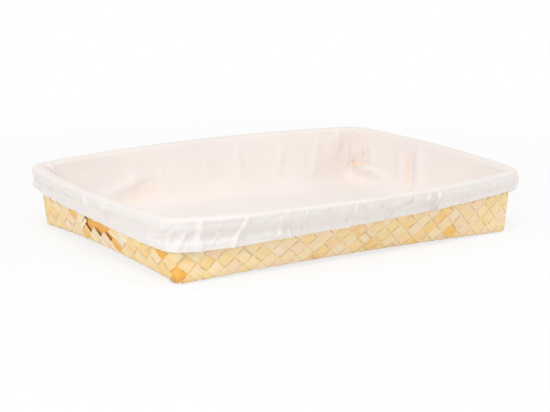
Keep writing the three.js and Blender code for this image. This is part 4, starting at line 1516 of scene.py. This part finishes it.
def unseen_folds(rng):
    """Folds like the photographed ones for the rest of the skirt and of the inside."""
    outside, inside = [], []
    a = SEEN_UP_TO
    while a < SEEN_AGAIN_FROM:
        outside.append(Fold(
            start=(a + rng.uniform(-0.8, 0.8), rng.uniform(57, 66)),
            end=(a, rng.uniform(33, 48)),
            width=rng.uniform(1.5, 3.4),
            height=rng.uniform(0.7, 2.1),
            flare=rng.uniform(0, 0.9),
        ))
        a += rng.uniform(1.1, 3.4)
    for a in np.arange(1.0, AROUND, 4.7):
        inside.append(Fold(
            start=(a + rng.uniform(-1.5, 1.5), rng.uniform(48, 62)),
            end=(a, rng.uniform(10, 26)),
            width=rng.uniform(4, 8),
            height=rng.uniform(0.3, 1.1),
            flare=rng.uniform(-0.6, 0.8),
        ))
    return outside, inside


def limited(lift, room):
    """Keeps the cloth out of what is behind it: a dip levels off at the depth that there is room for."""
    return np.where(lift < 0, -room * (1 - np.exp(lift / room)), lift)


def dip_room(side):
    """How deep the cloth may dip at each point before it meets the bamboo or the elastic behind it."""
    x, y = np.abs(side.points[..., 0]), np.abs(side.points[..., 1])
    z = side.points[..., 2]
    by_slat = clamped((x - SLAT_NEAR_X) / SLAT_FADE_X)
    by_slat = by_slat * clamped((SLAT_HIGH.y + SLAT_ROOM_Y - y) / SLAT_FADE_Y)
    on_wall = ROOM_ON_WALL - (ROOM_ON_WALL - ROOM_AT_SLAT) * by_slat
    inside = ROOM_AT_RIM + on_wall * clamped((ROOM_TOP - z) / ROOM_FADE)
    over_splint = RIM_GAP - RIM_CLEARANCE
    off_wall = np.clip(side.standoff - WALL_CLEARANCE, *OFF_WALL)
    outside = over_splint + (off_wall - over_splint) * clamped((HOOP_FOOT - z) / SPLINT_FADE)
    casing = clamped((CASING_WIDTH + CASING_FADE - side.above_hem()) / CASING_FADE)
    outside += (np.minimum(outside, CASING_ROOM) - outside) * casing
    return np.where(side.past_rim() < 0, inside, outside)


def cloth_lift(side):
    """How far the side cloth stands off its smooth shape, and how much painted warm shade its dips and
    creases get.
    """
    x = side.girth[:, None] + 0 * side.run
    y = side.past_rim()
    above = side.above_hem()
    outside = clamped((y - SMOOTH_RIM) / EASE_OUTSIDE)
    inside = clamped((-y - SMOOTH_RIM) / EASE_INSIDE) * clamped(side.run / EASE_AT_SEAM)

    def waves(kind, shift=0.0):
        cells = round(side.whole / kind.size)
        place = x * cells / side.whole + shift
        return lattice_noise(place, y / (kind.size * kind.stretch) + 9, cells, kind.seed)

    def height(kind):
        return kind.inside * inside + kind.outside * outside

    broad = waves(BROAD) - 0.5
    middle = waves(MIDDLE) - 0.5
    patch = clamped((waves(CRUMPLED_PATCHES) - 0.5) * 2.2 + 0.45)
    crumple = (1 - np.abs(2 * waves(CRUMPLED, middle * 1.4) - 1)) ** 3
    lift = broad * height(BROAD) + middle * height(MIDDLE)
    lift += (crumple - 0.25) * patch * height(CRUMPLED)
    lift += (waves(DRIFT) - 0.5) * DRIFT_HEIGHT - SKIRT_SHRINK * outside
    corner = np.min(np.abs(wrapped(side.a[:, None] - SIDE_STARTS[1:], AROUND)), 1, keepdims=True)
    lift *= 1 - TAUT_SHARE * outside * bell(corner, TAUT_REACH)
    lift -= TAUT_DEPTH * outside * bell(corner, TAUT_DEPTH_REACH) * (side.points[..., 2] > HOOP_FOOT)

    unseen_outside, unseen_inside = unseen_folds(np.random.default_rng(21))
    for fold in SKIRT_FOLDS + unseen_outside:
        add_fold(lift, side, fold, outside)
    for fold in INSIDE_FOLDS + CREASES + unseen_inside:
        add_fold(lift, side, fold, inside)
    # The listed creases get painted warm shade along their grooves
    crease_shade = np.zeros_like(lift)
    for fold in CREASES:
        add_fold(crease_shade, side, fold, inside / abs(fold.height) / FOLD_STRENGTH)

    gathers = (1 - np.abs(2 * waves(GATHERS, broad) - 1)) ** 2 - 0.35
    near_hem = outside * np.exp(-(np.maximum(above, 0) / GATHER_REACH) ** 1.5)
    lift += gathers * (0.4 + 0.8 * patch) * near_hem
    lift += outside * CASING_RISE * bell(above - STITCH_UP / 2, CASING_ROUND)
    lift -= outside * STITCH_SINK * bell(above - STITCH_UP, STITCH_GROOVE)
    lift = limited(lift, dip_room(side))
    lift[:, side.hem_at:] = lift[:, side.hem_at][:, None]
    # Deep dips inside the tray get painted warm shade as well
    dips = clamped((-lift - 0.5) / 1.4) * inside
    return lift, DIP_PAINTED_SHADE * dips + CREASE_PAINTED_SHADE * clamped(-crease_shade)


def build_side_panel(cotton):
    """The side panel with its folds, and the grid that the floor panel and the stitches follow."""
    side = SideCloth(PER_STEP)
    normals = -grid_normals(side.points, closed=True)
    # The turned-up edge moves with the skirt's end, not along its own normals
    normals[:, side.hem_at:] = normals[:, side.hem_at - 2][:, None]
    lift, close = cloth_lift(side)
    points = side.points + normals * lift[..., None]
    faces = grid_faces(*lift.shape, closed=True)[:, ::-1]
    values = {"skirt": clamped(side.past_rim() / 8).ravel(), "close": close.ravel()}
    cloth = object_of("side_panel", points.reshape(-1, 3), faces, values, cotton)
    give_uv(cloth, side.girth[:, None] + 0 * side.run, side.run, side.whole)
    return cloth, side, points, -grid_normals(points, closed=True)


def build_floor_panel(ring, cotton):
    """The floor panel spans the seam at the foot of the side panel, and ripples a little inside it."""
    across, deep = 2 * CELLS_X * PER_STEP + 1, 2 * CELLS_Y * PER_STEP + 1
    starts = SIDE_STARTS * PER_STEP
    front = ring[starts[FRONT]:starts[FRONT] + across]
    right = ring[starts[RIGHT]:starts[RIGHT] + deep]
    back = ring[starts[BACK]:starts[BACK] + across][::-1]
    left = np.concatenate([ring[starts[LEFT]:], ring[:1]])[::-1]
    u = np.linspace(0, 1, across)[:, None, None]
    v = np.linspace(0, 1, deep)[None, :, None]
    flat = (1 - v) * front[:, None] + v * back[:, None] + (1 - u) * left[None] + u * right[None]
    flat -= (1 - u) * (1 - v) * front[0] + u * (1 - v) * front[-1]
    flat -= (1 - u) * v * back[0] + u * v * back[-1]
    x, y = flat[..., 0], flat[..., 1]
    fade = clamped(8 * np.minimum(u * (1 - u), v * (1 - v)))[..., 0] ** 0.7
    ripple = 0
    for kind in RIPPLES:
        place = x / kind.along + kind.start, y / kind.across + kind.start
        ripple = ripple + kind.share * lattice_noise(*place, NOISE_ROWS, kind.seed)
    inner = floor_height(x, y) + fade * FLOOR_RIPPLE * ripple
    flat[1:-1, 1:-1, 2] = inner[1:-1, 1:-1]
    floor = object_of("floor_panel", flat.reshape(-1, 3), grid_faces(across, deep), finish=cotton)
    give_uv(floor, x, y)
    return floor


def hand_over(piece, body, slot, *nodes):
    """Attaches a piece to its body and hides the CAD nodes that it stands for; the finish slot is not used.
    """
    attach(piece, body)
    if nodes:
        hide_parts(*nodes)


for strips in build_plait(strip_finish()):
    hand_over(strips, "tray", "bamboo_strip", "woven_body")
hand_over(build_slivers(sliver_finish()), "tray", "bamboo_strip")
outer_splint, inner_splint = build_hoops(rim_finish())
hand_over(outer_splint, "tray", "rim_bamboo", "rim_outer_hoop")
hand_over(inner_splint, "tray", "rim_bamboo", "rim_inner_hoop")
slat_wood = slat_finish()
hand_over(build_slat(RIGHT, slat_wood), "tray", "slat_bamboo", "slot_slat_right")
hand_over(build_slat(LEFT, slat_wood), "tray", "slat_bamboo", "slot_slat_left")
nail_nodes = sorted(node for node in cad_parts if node.startswith("rim_nail_"))
hand_over(build_nails(steel_finish()), "tray", "nail_steel", *nail_nodes)

cotton = cotton_finish()
side_panel, side, side_points, side_normals = build_side_panel(cotton)
floor_panel = build_floor_panel(side_points[:, 0], cotton)
hand_over(side_panel, "liner", "cotton", "liner_side", "liner_skirt")
hand_over(floor_panel, "liner", "cotton", "liner_floor")
hand_over(build_elastic(elastic_finish()), "liner", "elastic", "hem_elastic")
hand_over(build_stitches(side, side_points, side_normals, thread_finish()), "liner", "cotton")


# Floor, light and camera

def seen_directly(tree):
    """1 for what the camera sees, straight or in metal or glass, and 0 for the light on the tray."""
    rays = ("Is Camera Ray", "Is Glossy Ray", "Is Transmission Ray")
    camera, glossy, transmitted = (add(tree, "ShaderNodeLightPath", output=ray) for ray in rays)
    return camera.most(glossy).most(transmitted)


def even_white(tree, seen, shader, share):
    """Mixes even white into a shader for what the camera sees."""
    white = add(tree, "ShaderNodeEmission", None, {"Color": (1, 1, 1, 1), "Strength": 1.0})
    return add(tree, "ShaderNodeMixShader", None, {0: seen * share, 1: shader, 2: white})


def build_stage():
    """A white floor that lights the tray from below and keeps its shadow."""
    bpy.ops.mesh.primitive_plane_add(size=FLOOR_SIZE, location=(0, 0, 0))
    floor = bpy.context.object
    floor.name = "floor"
    paper = Finish("white_paper")
    paper.set(Base_Color=FLOOR_GREY, Roughness=1.0, Specular_IOR_Level=0.0)
    tree = paper.tree
    lit = Wire(tree, paper.shader.outputs[0])
    length = {"operation": "LENGTH"}
    away = add(tree, "ShaderNodeVectorMath", length, {0: position(tree)}, output="Value")
    share = away.step(WHITE_FROM, WHITE_AT) * (1 - FLOOR_WHITE) + FLOOR_WHITE
    mix = even_white(tree, seen_directly(tree), lit, share)
    tree.links.new(mix.socket, tree.nodes["Material Output"].inputs["Surface"])
    floor.data.materials.append(paper.material)


def turned_to(thing, place, back):
    """Sets a lamp or camera at a place, with its back along a direction, and adds it to the scene."""
    thing.location = place
    thing.rotation_mode = "QUATERNION"
    thing.rotation_quaternion = (-back).to_track_quat("-Z", "Y")
    bpy.context.scene.collection.objects.link(thing)


def build_light():
    """Even light all round, and soft lamps above, high in front, far left and far right."""
    world = bpy.data.worlds.new("studio")
    world.use_nodes = True
    tree = world.node_tree
    sky = tree.nodes["Background"]
    sky.inputs["Color"].default_value = (1, 1, 1, 1)
    sky.inputs["Strength"].default_value = SKY_STRENGTH
    white = add(tree, "ShaderNodeBackground", None, {"Color": (1, 1, 1, 1), "Strength": 1.0})
    values = {0: seen_directly(tree), 1: Wire(tree, sky.outputs[0]), 2: white}
    mix = add(tree, "ShaderNodeMixShader", None, values)
    tree.links.new(mix.socket, tree.nodes["World Output"].inputs["Surface"])
    bpy.context.scene.world = world
    for lamp in LAMPS:
        data = bpy.data.lights.new(lamp.name, "AREA")
        data.shape = "SQUARE"
        data.size = lamp.size
        data.energy = lamp.power
        turned_to(bpy.data.objects.new(lamp.name, data), lamp.place, Vector(lamp.place))


def build_camera():
    """The camera at the photograph's angle, which looks at the target."""
    data = bpy.data.cameras.new("camera")
    data.sensor_width = SENSOR
    data.lens = SENSOR * FOCAL_PIXELS / PHOTO_WIDTH
    data.clip_start = NEAR_CLIP
    data.clip_end = FAR_CLIP
    camera = bpy.data.objects.new("camera", data)
    level = math.cos(ELEVATION)
    back = Vector((math.sin(YAW) * level, -math.cos(YAW) * level, math.sin(ELEVATION)))
    turned_to(camera, TARGET + back * DISTANCE, back)
    bpy.context.scene.camera = camera


build_stage()
build_camera()
build_light()
bpy.context.scene.view_settings.view_transform = "Standard"
